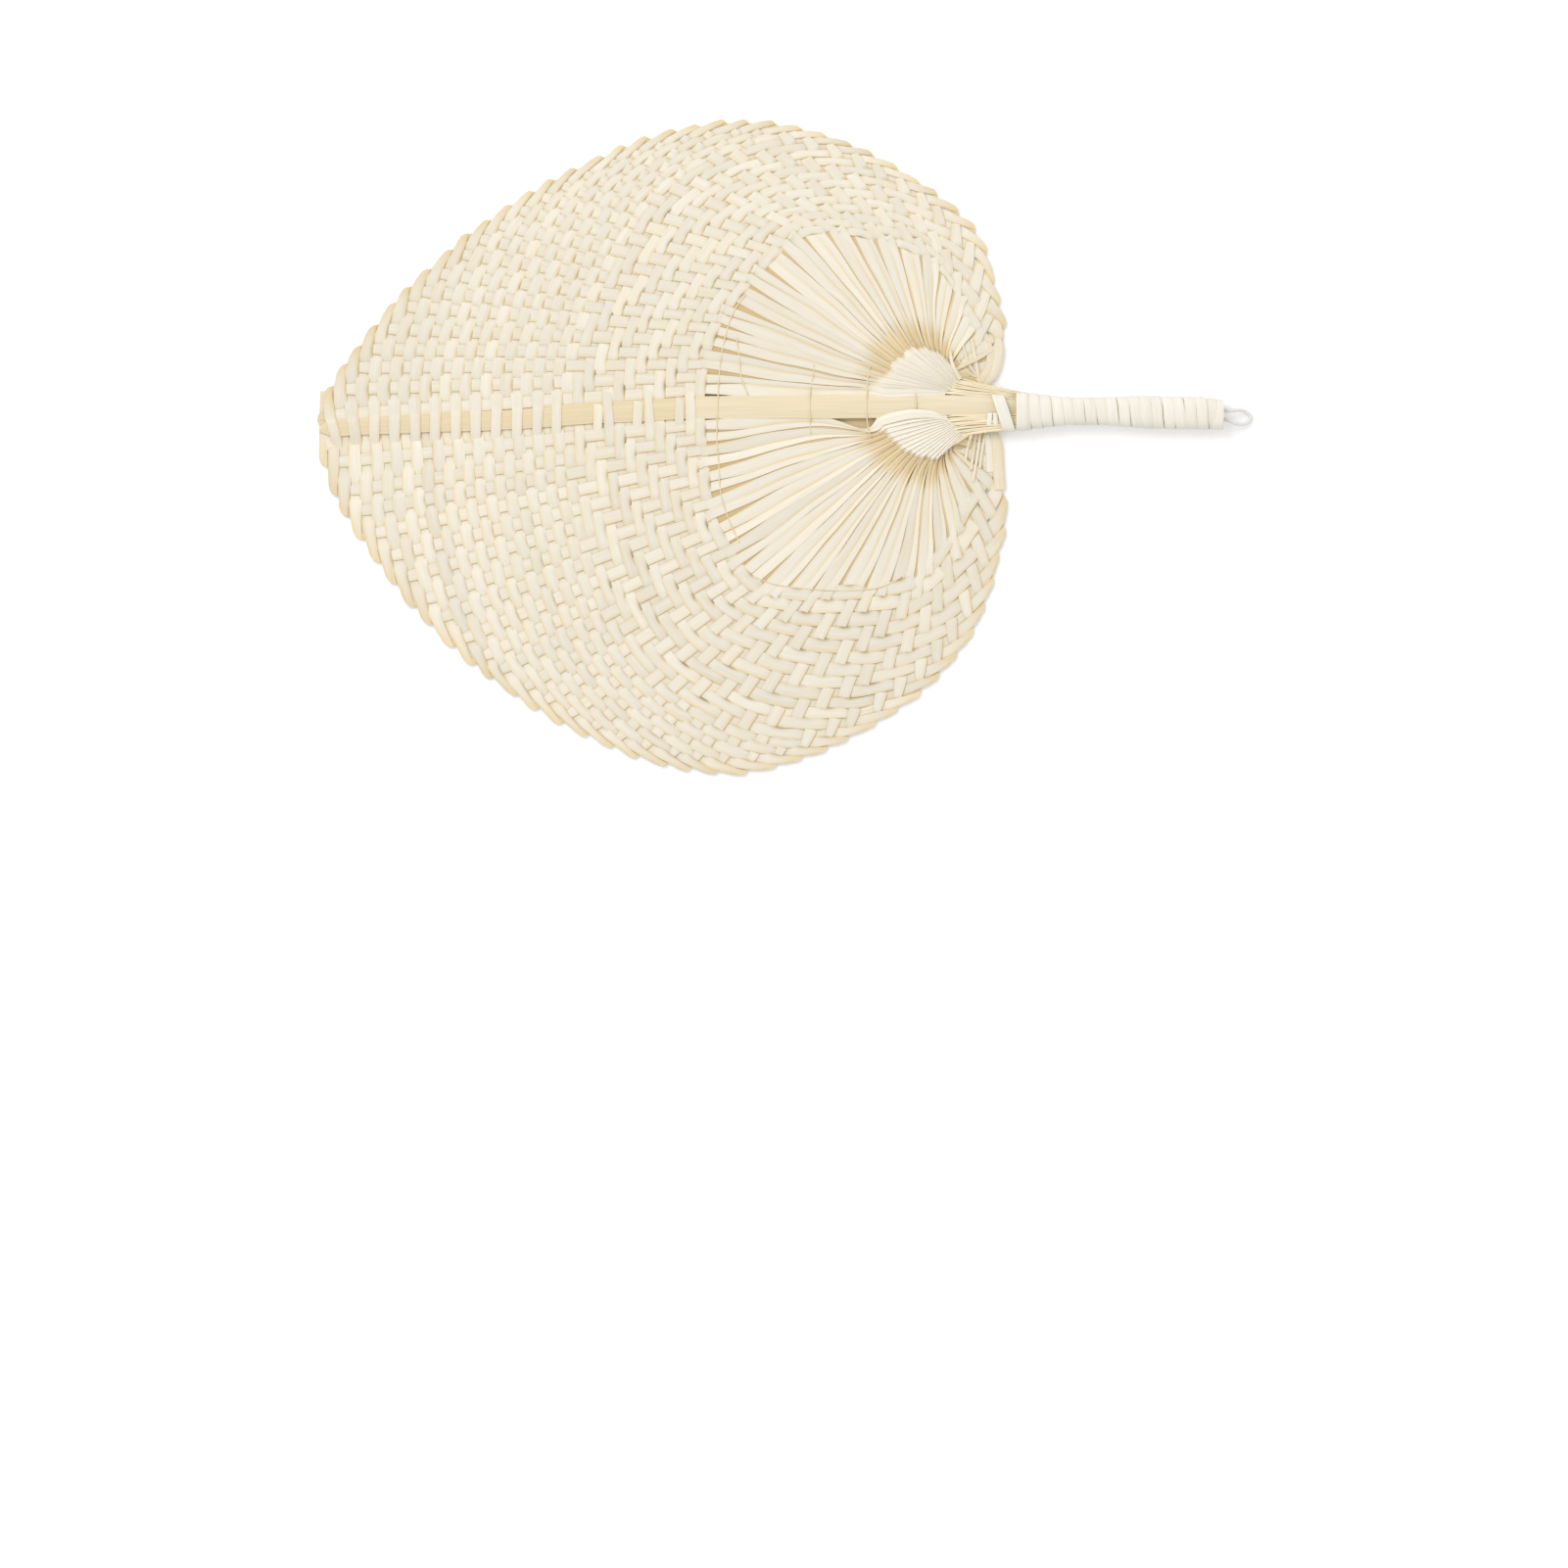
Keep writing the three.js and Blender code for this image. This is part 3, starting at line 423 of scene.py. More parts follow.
# Outline of the blade: its lines are given in shares of LENGTH and REACH
LENGTH = 268.5
REACH = {"upper": 111.5, "lower": 139.0}
SIGN = {"upper": 1.0, "lower": -1.0}
TIP_DROP = 10.5
RIM = {
    "upper": [(0.969, 0.117), (0.861, 0.439), (0.715, 0.721), (0.526, 0.942), (0.377, 1), (0.242, 0.932),
              (0.116, 0.762), (0.049, 0.606), (0.02, 0.379), (0.012, 0.286), (0.032, 0.132)],
    "lower": [(0.954, 0.287), (0.844, 0.572), (0.711, 0.787), (0.553, 0.946), (0.397, 1), (0.248, 0.916),
              (0.122, 0.758), (0.049, 0.572), (0.012, 0.319), (0.012, 0.24), (0.03, 0.108)],
}
INNER = {
    "upper": [(0.447, 0.018), (0.44, 0.205), (0.407, 0.368), (0.328, 0.575), (0.275, 0.623), (0.209, 0.606),
              (0.143, 0.558), (0.09, 0.447), (0.032, 0.132)],
    "lower": [(0.447, -0.014), (0.44, 0.217), (0.421, 0.344), (0.375, 0.473), (0.307, 0.502), (0.175, 0.484),
              (0.122, 0.432), (0.083, 0.319), (0.03, 0.108)],
}
HUB = {
    "upper": [(0.186, 0.05), (0.182, 0.1), (0.172, 0.159), (0.153, 0.201), (0.133, 0.215), (0.11, 0.201),
              (0.09, 0.159), (0.077, 0.122)],
    "lower": [(0.19, 0.02), (0.182, 0.053), (0.172, 0.08), (0.153, 0.11), (0.13, 0.127), (0.11, 0.13),
              (0.094, 0.106), (0.078, 0.08)],
}
GATHER = {"upper": ((-26.5, 6.9), (-19.4, 13.0)), "lower": ((-26.0, -1.9), (-18.6, -10.6))}
LEAFLETS = 38
PLEATS = LEAFLETS // 2
SECTORS, NODES_PER_SECTOR = 8, 3

# Weave
TWILL_FROM = 0.66
LANE_CROWDING, CROWDED_LANES = 0.3, 4
ROW_SPREAD, SPREAD_FROM, SPREAD_RUN = 0.34, 6, 12
ROW_DRIFT, DRIFT_PACE = 0.07, 0.35
INNER_LEAD, TOOTH_SLIP, INNER_SLIP = 0.35, 0.1, 0.8
TOOTH_INSET, TOOTH_OUT, TOOTH_BOW, TOOTH_PEAK = 2.1, 1.7, 0.8, 0.4
RIM_HEIGHT = 0.8
WEAVE_LIFT, RIM_LIFT, FOLD_LIFT = 0.27, 0.12, 0.14
WEAVE_FLAT, WEAVE_SLOPE = 0.27, 0.46
RINGS_PER_LANE = 6
LEAF_THICKNESS, STEM_THICKNESS, UNDERSIDE_THICKNESS = 0.24, 0.16, 0.2
LEAF_CROWN = 0.03
FOLD_WIDTH, FOLD_COVER, LEAST_SLANT, FOLD_CLEAR = (2.2, 3.9), 0.8, 0.55, 0.25
OUT_COVER = [(0.0, 0.58), (0.45, 0.62), (0.75, 0.68), (1.0, 0.7)]
OUT_WIDEST = 4.5
BACK_WIDTH, COVER_PLAIN, COVER_TWILL = (2.2, 5.4), 1.28, 1.16
WEAVE_TIP_END, WEAVE_INNER_END = 0.984, 0.447
RIB_CLEAR, PAST_RIB, RIB_TUCK = 0.25, 3.2, 0.25
# How dark the painted shadow along the edges of runs gets, in twill and in plain weave.
SLIT_SHADOW_DEPTH, PLAIN_SLIT_SHADOW = (0.1, 0.75), 0.45
# The second and third of these tint runs tan where they dip under a crossing strip: painted shade.
FOLD_STAIN, DIVE_SHADE, BACK_DIVE_SHADE = 0.65, 0.3, 0.1
# Edge tints of the woven runs: partly their own yellowish edges, partly painted shade in the seams.
OUT_EDGES, BACK_EDGE = (0.2, 0.5), 0.36

# Stems between the weave and the neck
OPEN_STEPS, HUB_STEPS, STEP_CROWDING = 40, 18, 1.4
SWELL_PLEATS, DIP_PLEATS, LENS_PLEATS = 2.6, 1.8, 1.6
RING, RING_INSIDE, RING_DROP, SHORT_STEM = 9.0, 6.0, 0.5, 34.0
BEND_JITTER = 0.7
BEND_SWEEP = {"upper": 0.62, "lower": 0.8}
STEM_SWELL = {"upper": 0.7, "lower": 2.4}
STEM_DIP, DIP_PLACE = {"upper": 0.6, "lower": 3.4}, 6.0
LENS_CROWN = {"upper": 0.0, "lower": 1.9}
LENS_DOME = {"upper": 0.0, "lower": 0.9}
LENS_RISE, LENS_ARCH, LENS_FALL = 0.8, 0.7, 0.6
CALM_PLEATS = {"upper": 2.4, "lower": 1.2}
LEAST_PITCH = 0.12
FOLD_DEPTH = (0.5, 1.9)
SNUG_FROM, SNUG_RUN = 2.5, 5.0
GAP_PLEATS, LONG_GAP, SHORT_GAP = 7, (0.65, 1.1), (0.25, 0.6)
LONG_SPLIT, SHORT_SPLIT = 20.0, 7.0
STEM_COVER, STEM_WIDEST, FLANK_WIDEST = (0.71, 0.86), (4.3, 5.2), 4.4
OWN_INSET, FOLD_GAP = 0.45, 0.02
LAP_IN, LAP_OUT = (0.0, 0.02), (-0.2, 0.24)
UNDERSIDE_LOWEST = 0.3
SPLIT_BED_WIDTH, SPLIT_BED_DROP = 2.2, 0.3
SEAM_BED_WIDTHS, SEAM_BED_DROP, SEAM_RING_DROP = (3.4, 1.5), 0.35, 1.4

# Midrib
MIDRIB_START, MIDRIB_CLIMB = 0.6, 9.4
MIDRIB_TIP_DROP = 6.5
MIDRIB_SAG, SAG_SHARE, SAG_SPAN = 1.9, 0.72, 0.17
MIDRIB_TIP = -0.99 * LENGTH
MIDRIB_HUB_SHARE = 0.19
MIDRIB_HUB = -MIDRIB_HUB_SHARE * LENGTH
MIDRIB_WEAVE = -WEAVE_INNER_END * LENGTH
MIDRIB_WIDTHS = [(MIDRIB_TIP, 3.5), (MIDRIB_HUB, 4.5), (-26, 3.9), (0, 2.6)]
MIDRIB_THICKNESSES = [(MIDRIB_WEAVE, 0.4), (MIDRIB_HUB, 1.2)]


def blade_height(share):
    return mix(RIM_HEIGHT, HANDLE_HEIGHT, (1 - np.clip(share, 0, 1)) ** 2)


def midrib_centre(x):
    s = -np.asarray(x, float) / LENGTH
    drop = MIDRIB_CLIMB + MIDRIB_START + MIDRIB_TIP_DROP
    return MIDRIB_START + MIDRIB_CLIMB * s - drop * s * s - MIDRIB_SAG * bump(s, SAG_SHARE, SAG_SPAN)


def midrib_half_width(x):
    return steps(MIDRIB_WIDTHS, x)


def midrib_half_thickness(x):
    return steps(MIDRIB_THICKNESSES, x)


def midrib_height(x):
    return blade_height((-np.asarray(x, float) / LENGTH - MIDRIB_HUB_SHARE) / (1 - MIDRIB_HUB_SHARE))


def is_twill(k):
    return k > TWILL_FROM * LEAFLETS


def over(j, k):
    """1 where the returning run k passes over leaflet j, and -1 where it passes under."""
    if is_twill(k):
        return 1 if (j - k + 1) % 4 < 2 else -1
    return 1 if (max(j, 1) + k) % 2 else -1


def lane(count):
    """Where a run lies, in even lanes from the rim: the first few lie closer to it."""
    return count - LANE_CROWDING * np.clip(count, 0, 1) * np.clip(1 - (count - 1) / CROWDED_LANES, 0, 1)


def spread(j):
    """How much wider than average leaflet j's rows are by the open ribs, and narrower by the rim."""
    return ROW_SPREAD * smooth((j - SPREAD_FROM) / SPREAD_RUN)


def row(j, count):
    """The share of leaflet j's woven run, counted from the rim, at which a lane lies."""
    t = count / max(LEAFLETS - j, 1)
    return t + spread(j) * (t * t - t)


def hold(values, place):
    """The wave of a strip: flat at each crossing, with a short slope between."""
    i = np.clip(np.floor(place).astype(int), 0, len(values) - 2)
    return mix(values[i], values[i + 1], smooth((place - i - WEAVE_FLAT) / WEAVE_SLOPE))


def snug(n):
    """How closely the stems lie at the weave: open beside the midrib, and shut further round."""
    return float(smooth((n - SNUG_FROM) / SNUG_RUN))


class Half:
    """One half of the blade: where each leaflet starts, turns, folds at the rim and comes back."""

    def __init__(self, name):
        self.name, self.sign = name, SIGN[name]
        self.is_upper, self.is_lower = int(name == "upper"), int(name == "lower")
        scale = np.array([-LENGTH, self.sign * REACH[name]])
        slip = seeded(11 + self.is_lower).uniform(-TOOTH_SLIP, TOOTH_SLIP, LEAFLETS)
        slip[-1] = 0
        rim = Line([(-LENGTH, -TIP_DROP), *(np.array(RIM[name]) * scale)])
        inner = Line(np.array(INNER[name]) * scale)
        hub = Line(np.array(HUB[name]) * scale)
        j = np.arange(1, LEAFLETS + 1)
        pleat_share = (np.arange(PLEATS) + 0.5) / PLEATS
        self.hub = hub.at((j - 0.5) / LEAFLETS)
        self.bend = hub.at(pleat_share)
        self.inner = inner.at((j + INNER_LEAD + slip * INNER_SLIP) / (LEAFLETS + INNER_LEAD))
        edge = rim.at((j + slip) / LEAFLETS)
        self.tooth = edge + unit(self.hub - edge) * TOOTH_INSET
        self.inner[-1] = self.tooth[-1]
        start, end = (np.array(p) for p in GATHER[name])
        self.gather = mix(start, end, pleat_share[:, None])
        along = np.arange(LEAFLETS + 1) * DRIFT_PACE
        seeds = [100 + k + 50 * self.is_lower for k in range(LEAFLETS + 2)]
        self.drift = [wander(seed, along, ROW_DRIFT) for seed in seeds]
        self.reach_share = length(self.inner - self.hub) / length(self.tooth - self.hub)
        self.tops = []
        self.lay_pleats()

    def cross(self, j, k):
        """Where run k crosses leaflet j, with leaflet 0 the midrib."""
        if j == 0:
            t = (k - 1 + self.drift[k][0]) / (LEAFLETS - 1)
            x = -LENGTH * mix(WEAVE_TIP_END, WEAVE_INNER_END, t)
            return np.array([x, float(midrib_centre(x))])
        t = row(j, lane(k - j) + self.drift[k][j] * (k > j))
        return mix(self.tooth[j - 1], self.inner[j - 1], t)

    def share(self, j, k):
        """How far out towards the rim the crossing lies."""
        return mix(1.0, self.reach_share[j - 1], row(j, lane(k - j)))

    def stem_line(self, n, jitter):
        """The line of pleat n from the weave to the neck, and how far outside the bend its points lie."""
        a = (self.inner[2 * n] + self.inner[2 * n + 1]) / 2
        b, c = self.bend[n], self.gather[n]
        b = b + unit(b - c) * jitter
        out, ray = unit(a - b), unit(b - c)
        reach = length(a - b)
        far = reach * (1 - np.linspace(0, 1, OPEN_STEPS, endpoint=False)) ** STEP_CROWDING
        arch = np.sin(math.pi * far / reach)
        sweep = BEND_SWEEP[self.name] * far * np.exp(-far / (RING * min(1.0, reach / SHORT_STEM)))
        wave = -STEM_SWELL[self.name] * math.exp(-n / SWELL_PLEATS) * arch ** 2
        wave = wave + wander(n + 400 + 40 * self.is_upper, far * 0.07, 0.35) * arch
        dip = STEM_DIP[self.name] * math.exp(-n / DIP_PLEATS)
        dip = dip * far / DIP_PLACE * np.exp(1 - far / DIP_PLACE)
        rise = -turned(out) * self.sign
        outer = b + out * far[:, None] + (ray - out) * sweep[:, None] + rise * (wave + dip)[:, None]
        in_share = np.linspace(0, 1, HUB_STEPS)
        crown = LENS_CROWN[self.name] * math.exp(-n / LENS_PLEATS) * np.sin(math.pi * in_share)
        inner = mix(b, c, in_share[:, None]) + [0.0, 1.0] * crown[:, None]
        away = join([far, -in_share * length(b - c)])
        return join([outer, inner]), away

    def lay_pleats(self):
        """The pleats, each the stem of two leaflets: their lines, heights and folds. Near is 1 in the ring of
        steep folds round the hub, and lens is 1 on the white lens inside it."""
        rng = seeded(13 + self.is_lower)
        stems = [self.stem_line(n, rng.uniform(-BEND_JITTER, BEND_JITTER)) for n in range(PLEATS)]
        self.pleat, self.away = (np.array(a) for a in zip(*stems))
        self.along = unit(np.gradient(self.pleat, axis=1))
        self.normal = turned(self.along) * self.sign
        step = np.gradient(self.pleat, axis=0)
        self.pitch = np.maximum(np.abs((step * self.normal).sum(-1)), LEAST_PITCH)
        self.reach = self.away[:, :1]
        total = length(self.tooth - self.hub)[::2, None]
        n = np.arange(PLEATS)[:, None]
        calm = bump(n, 0, CALM_PLEATS[self.name])
        near = 1 - smooth((self.away * np.maximum(1.0, SHORT_STEM / self.reach) - RING_INSIDE) / RING)
        self.near = near * (1 - 0.8 * calm)
        blend = 0.6 + 8.0 * calm
        self.lens = smooth((-self.away + blend) / (blend + 0.8))
        outside = blade_height(np.clip(self.away, 0, None) / total) - RING_DROP * self.near
        inside = np.clip(-self.away / np.maximum(-self.away[:, -1:], 1e-6), 0, 1)
        arch = np.sin(math.pi * inside)
        dome = HANDLE_HEIGHT + LENS_RISE + LENS_ARCH * arch - LENS_FALL * inside
        dome = dome + LENS_DOME[self.name] * np.exp(-n / LENS_PLEATS) * arch
        self.height = mix(outside, dome, self.lens)
        self.fold_depth = mix(*FOLD_DEPTH, self.near) * smooth((self.reach - self.away) / RING + 0.12)
        self.fold_depth = mix(self.fold_depth, 0.0, self.lens)

    def from_weave(self, n):
        """How far along the open stem of pleat n its points lie, from 0 at the weave to 1."""
        return np.clip(1 - self.away[n] / self.reach[n, 0], 0, 1)

    def flank(self, i):
        """Leaflet i's half of its pleat: its inner and outer edge, from weave to gather, and their tint, much
        of it painted shade in the fold and seams.
        """
        n, second = i // 2, i % 2
        hand = 1 if second else -1
        rng = seeded(300 + n + 60 * self.is_upper)
        ridge = rng.uniform(0.05, 0.4)
        gap_run = rng.uniform(*(LONG_GAP if n < GAP_PLEATS else SHORT_GAP))
        along, normal = self.along[n], self.normal[n]
        half, lens, near = self.pitch[n] / 2, self.lens[n], self.near[n]
        far, reach, from_weave = self.away[n], self.reach[n, 0], self.from_weave(n)
        own = self.inner[i] - self.pleat[n, 0]
        own_side = float(own @ normal[0]) - hand * OWN_INSET
        wide = min(mix(*STEM_COVER, snug(n)) * half[0], mix(*STEM_WIDEST, snug(n)))
        # the fold between the two leaflets, and the seam to the next pleat
        fold = mix(ridge * half, 0.0, lens)
        seam = np.clip(0.16 + wander(n + 200, far * 0.1, 0.12), 0.02, 0.4)
        loose = 0.5 * math.exp(-n / 4) * np.sin(math.pi * from_weave)
        seam = (seam + loose * (1 + wander(n + 250, far * 0.08, 0.5))) * (1 - near)
        outer = np.minimum(half * 0.985 - seam, fold * hand + FLANK_WIDEST)
        outer = mix(outer, half * mix(1.02, 1.1, second), lens)
        if n == 0:
            outer = outer + 0.7 * lens
        # heights: steep in the ring, lapped on the lens
        deep = self.fold_depth[n] / 2
        lens_out, lens_in = smooth((-far + 1.2) / 1.2), smooth((-far - 0.2) / 1.2)
        inner_height, outer_height = mix(-deep, LAP_IN[second], lens_in), mix(deep, LAP_OUT[second], lens_out)
        # at the weave, each leaflet goes to its own place
        split = smooth(from_weave * reach / (LONG_SPLIT if n < GAP_PLEATS else SHORT_SPLIT))
        gap = smooth(from_weave / gap_run)
        inner = mix(own_side - hand * wide / 2, fold + hand * FOLD_GAP, split)
        outer = mix(own_side + hand * wide / 2, hand * outer, gap)
        shift = float(own @ along[0]) * (1 - smooth(from_weave * reach / 8.0))
        base = self.pleat[n] + along * shift[:, None]
        edges = []
        for aside, height in ((inner, inner_height), (outer, outer_height)):
            edges.append(raised(base + normal * aside[:, None], self.height[n] + height))
        # Painted shade: the fold valley is tinted tan, more towards the hub and most in the ring of steep
        # folds; the outer edge likewise in the ring, and on the lens along the steps of the lapped pleats. A
        # little of it is the leaf's own tint.
        fold_tint_and_shade = (0.2 + 0.4 * smooth(from_weave / 0.6) + 0.4 * near) * (1 - lens)
        rim_tint_and_shade = (0.2 + 0.2 * near) * (1 - lens) + 0.3 * lens
        return edges + [fold_tint_and_shade, rim_tint_and_shade], wide


class Leaflet:
    """Leaflet j as one strip: gathered at the neck, on edge at the hub, flat in the weave, folded at the
    rim, and back through its neighbours to the midrib."""

    def __init__(self, half, j):
        self.half, self.j, self.i = half, j, j - 1
        self.rng = seeded(1000 * half.is_upper + j)
        self.shade = self.rng.uniform(0.94, 1.03)
        self.tooth, self.inner = half.tooth[self.i], half.inner[self.i]

    def lay(self, front, under):
        """Adds the leaflet's strips to the piece of its sector and to that of the undersides."""
        stem = self.stem()
        self.crease()
        self.way_out(front, stem)
        self.underside(under)
        self.way_back(front)

    def stem(self):
        """Half of a pleat, from the gather to the weave: lapped in the hub, steep at the bend, then flat."""
        half, i = self.half, self.i
        (inner, outer, inner_tint_and_shade, outer_tint_and_shade), self.edge_width = half.flank(i)
        lens, near = half.lens[i // 2], half.near[i // 2]
        up = unit(np.cross(np.gradient((inner + outer) / 2, axis=0), outer - inner))
        up = np.where(up[:, 2:] < 0, -up, up)
        t = np.linspace(0, 1, len(up))
        ring = near * (1 - lens)
        # In the ring of steep folds the stem is tinted tan: partly its own colour at the bend, partly painted
        # shade in the folds.
        stain = np.clip(0.04 + 0.28 * ring + wander(self.j, t * 5, 0.05), 0, 1) * (1 - lens)
        # On the lens the shade rises: partly its paler colour, partly painted light that lifts the shading of
        # its pleats.
        shade = self.shade * mix(1.0, self.rng.uniform(1.05, 1.1), lens)
        # Painted light and shade: in the ring every other flank is lighter, as if turned to the key lamp, and
        # the rest darker.
        shade = shade * (1 + (0.08 if i % 2 == half.is_upper else -0.05) * ring)
        thick = mix(LEAF_THICKNESS, STEM_THICKNESS, np.maximum(near, lens))
        edges = (inner, outer, inner_tint_and_shade, outer_tint_and_shade)
        if i % 2 == half.is_upper:
            edges = (outer, inner, outer_tint_and_shade, inner_tint_and_shade)
        return [a[::-1] for a in (*edges, up, thick, shade, stain)]

    def crease(self):
        """The crease at the rim, along the line between the way out and the way back."""
        half, j = self.half, self.j
        straight = unit(self.tooth - half.hub[self.i])
        self.tip = self.tooth + straight * TOOTH_OUT * self.rng.uniform(0.7, 1.3)
        back = unit(half.cross(j - 1, j) - self.tip)
        self.lane_width = length(self.tooth - self.inner) / max(LEAFLETS - j, 1) * (1 - spread(j))
        self.fold_width = float(np.clip(FOLD_COVER * self.lane_width, *FOLD_WIDTH))
        self.fold_width *= self.rng.uniform(0.94, 1.06)
        crease = unit(straight + back)
        lean = float(crease @ turned(straight))
        slant = max(abs(lean), LEAST_SLANT)
        self.clear = self.fold_width / 2 * math.sqrt(1 - slant * slant) / slant + FOLD_CLEAR
        self.bulge = np.append(unit(straight - back) * TOOTH_BOW, 0.0)
        self.peak = self.tip - self.bulge[:2] * TOOTH_PEAK
        reach = crease * self.fold_width / 2 / slant * (1.0 if lean > 0 else -1.0)
        self.fold = [np.append(self.peak - reach, RIM_HEIGHT), np.append(self.peak + reach, RIM_HEIGHT)]
        self.ahead = turned(crease) * np.sign(float(turned(crease) @ back))

    def way_out(self, front, stem):
        """The stem, and the woven run from it to the crease."""
        half, i, j = self.half, self.i, self.j
        stem_left, stem_right, left_tint_and_shade, right_tint_and_shade, stem_up, stem_thick, stem_shade, stem_tint_and_shade = stem
        places = np.linspace(LEAFLETS, j, max(2, RINGS_PER_LANE * (LEAFLETS - j)))[1:]
        places = places[lane(places - j) * self.lane_width > self.clear] if j < LEAFLETS else np.zeros(0)
        values = np.zeros(LEAFLETS + 2)
        for k in range(j + 1, LEAFLETS + 1):
            values[k] = -WEAVE_LIFT * over(j, k)
        values[j] = -RIM_LIFT
        wave = hold(values, places)
        s = row(j, lane(places - j))
        lanes_in = s * (LEAFLETS - j)
        after, before = min(i + 1, LEAFLETS - 1), max(i - 1, 0)
        tooth_gap = length(half.tooth[after] - half.tooth[before]) / (after - before)
        inner_gap = length(half.inner[after] - half.inner[before]) / (after - before)
        width = np.minimum(steps(OUT_COVER, s) * mix(tooth_gap, inner_gap, s), OUT_WIDEST)
        width = mix(self.fold_width, width, smooth(lanes_in / 2.5))
        width = mix(width, self.edge_width, smooth((s - 0.93) / 0.07))
        height = blade_height(mix(1.0, half.reach_share[i], s)) + wave
        run = raised(mix(self.tooth, self.inner, s[:, None]), height)
        side = np.append(turned(unit(self.tooth - self.inner)), 0.0) * width[:, None] / 2
        n = len(run)
        # Painted shade: the run is tinted tan where it dips under crossing strips, more for the leaflets
        # round the 24th.
        dive_shade = DIVE_SHADE + 0.3 * math.exp(-((j - 24) / 7) ** 2)
        stain = 0.06 + 0.3 * bump(lanes_in, 0, 0.7) + wander(j + 300, s * 9, 0.05)
        stain = stain + dive_shade * smooth(-wave / WEAVE_LIFT)
        left = join([stem_left, run - side, [self.fold[0] - UP * FOLD_LIFT]])
        right = join([stem_right, run + side, [self.fold[1] - UP * FOLD_LIFT]])
        up = join([stem_up, np.tile(UP, (n + 1, 1))])
        thick = join([stem_thick, np.full(n + 1, LEAF_THICKNESS)])
        shade = join([stem_shade, np.full(n, self.shade * 0.985), [self.shade]])
        stain = join([stem_tint_and_shade, stain, [FOLD_STAIN]])
        # Edge tints, partly painted shade: the stem's fold and seam tints, then OUT_EDGES along the woven
        # run.
        edge_tints_and_shades = zip((left_tint_and_shade, right_tint_and_shade), OUT_EDGES)
        edge = tuple(join([e, np.full(n + 1, woven)]) for e, woven in edge_tints_and_shades)
        bow = np.zeros_like(left)
        bow[-1] = self.bulge
        front.strip(left, right, up, thick, (shade, stain), crown=LEAF_CROWN, edge=edge, bow=bow)
        half.tops.append((left + right) / 2)

    def underside(self, under):
        """The pale brown underside, seen in the seam to the next pleat and in the split of this one. Its tan
        is partly painted shade, deeper by the weave and in the ring of steep folds.
        """
        half, n = self.half, self.i // 2
        near, from_weave, deep = half.near[n], half.from_weave(n), half.fold_depth[n] / 2
        inwards = smooth(from_weave / 0.5)
        if self.i % 2 == 0:
            use = slice(0, OPEN_STEPS // 3)
            line, level = half.pleat[n], half.height[n] - deep - SPLIT_BED_DROP
            wide = np.full(len(near), SPLIT_BED_WIDTH)
        elif n < PLEATS - 1:
            use = slice(0, OPEN_STEPS - 4)
            line = (half.pleat[n] + half.pleat[n + 1]) / 2
            level = (half.height[n] + half.height[n + 1]) / 2 + deep
            level = level - SEAM_BED_DROP - SEAM_RING_DROP * near
            wide = np.minimum(mix(*SEAM_BED_WIDTHS, inwards), half.pitch[n])
        else:
            return
        centre = raised(line, np.maximum(level, UNDERSIDE_LOWEST))
        side = raised(half.normal[n], 0.0) * wide[:, None] / 2
        # Painted shade: darker by the weave and in the ring of steep folds, lighter where the stems lie snug.
        stain = mix(0.85, 0.5, snug(n)) - 0.4 * inwards + 0.5 * near
        look = (self.rng.uniform(0.95, 1.05), stain[use])
        under.band(centre[use], side[use], UNDERSIDE_THICKNESS, look)

    def back_width(self, place, tangent):
        """The width of the returning run: as wide as its row, with a little cover."""
        half, j = self.half, self.j
        wide = []
        for at, d in zip(np.clip(j - place, 1, LEAFLETS - 1), tangent):
            r = int(round(at))
            ray = half.tooth[r - 1] - half.inner[r - 1]
            rows = max(LEAFLETS - r, 1)
            step = length(ray) / rows * (1 + spread(r) * (2 * (j - r) / rows - 1))
            wide.append(step * abs(float(turned(unit(ray)) @ d)))
        cover = COVER_TWILL if is_twill(j) else COVER_PLAIN
        width = np.clip(cover * eased(np.array(wide), 6), *BACK_WIDTH) * self.rng.uniform(0.95, 1.03)
        width = width * (1 + wander(j + 500, place * 0.8, 0.05))
        return mix(self.fold_width, width, smooth(place / 1.5)) * mix(1.0, 0.82, smooth(place - j + 1.3))

    def slit_shadows(self, place):
        """How dark the painted shadow along the run's left and right edge is, where it lies over its
        neighbours.
        """
        half, j = self.half, self.j
        rng = seeded(5000 + j + 100 * half.is_upper)
        slit = np.zeros(len(place))
        for m in range(1, j - 1):
            depth = rng.uniform(*SLIT_SHADOW_DEPTH)
            if over(j - m, j) > 0 and over(j - m - 1, j) > 0:
                slit += depth * bump(place, m + 0.5, 0.36)
            elif over(j - m, j) > 0 and not is_twill(j):
                slit += PLAIN_SLIT_SHADOW * depth * bump(place, m, 0.3)
        slit = np.append(0, slit)
        return (0 * slit, slit) if half.is_upper else (slit, 0 * slit)

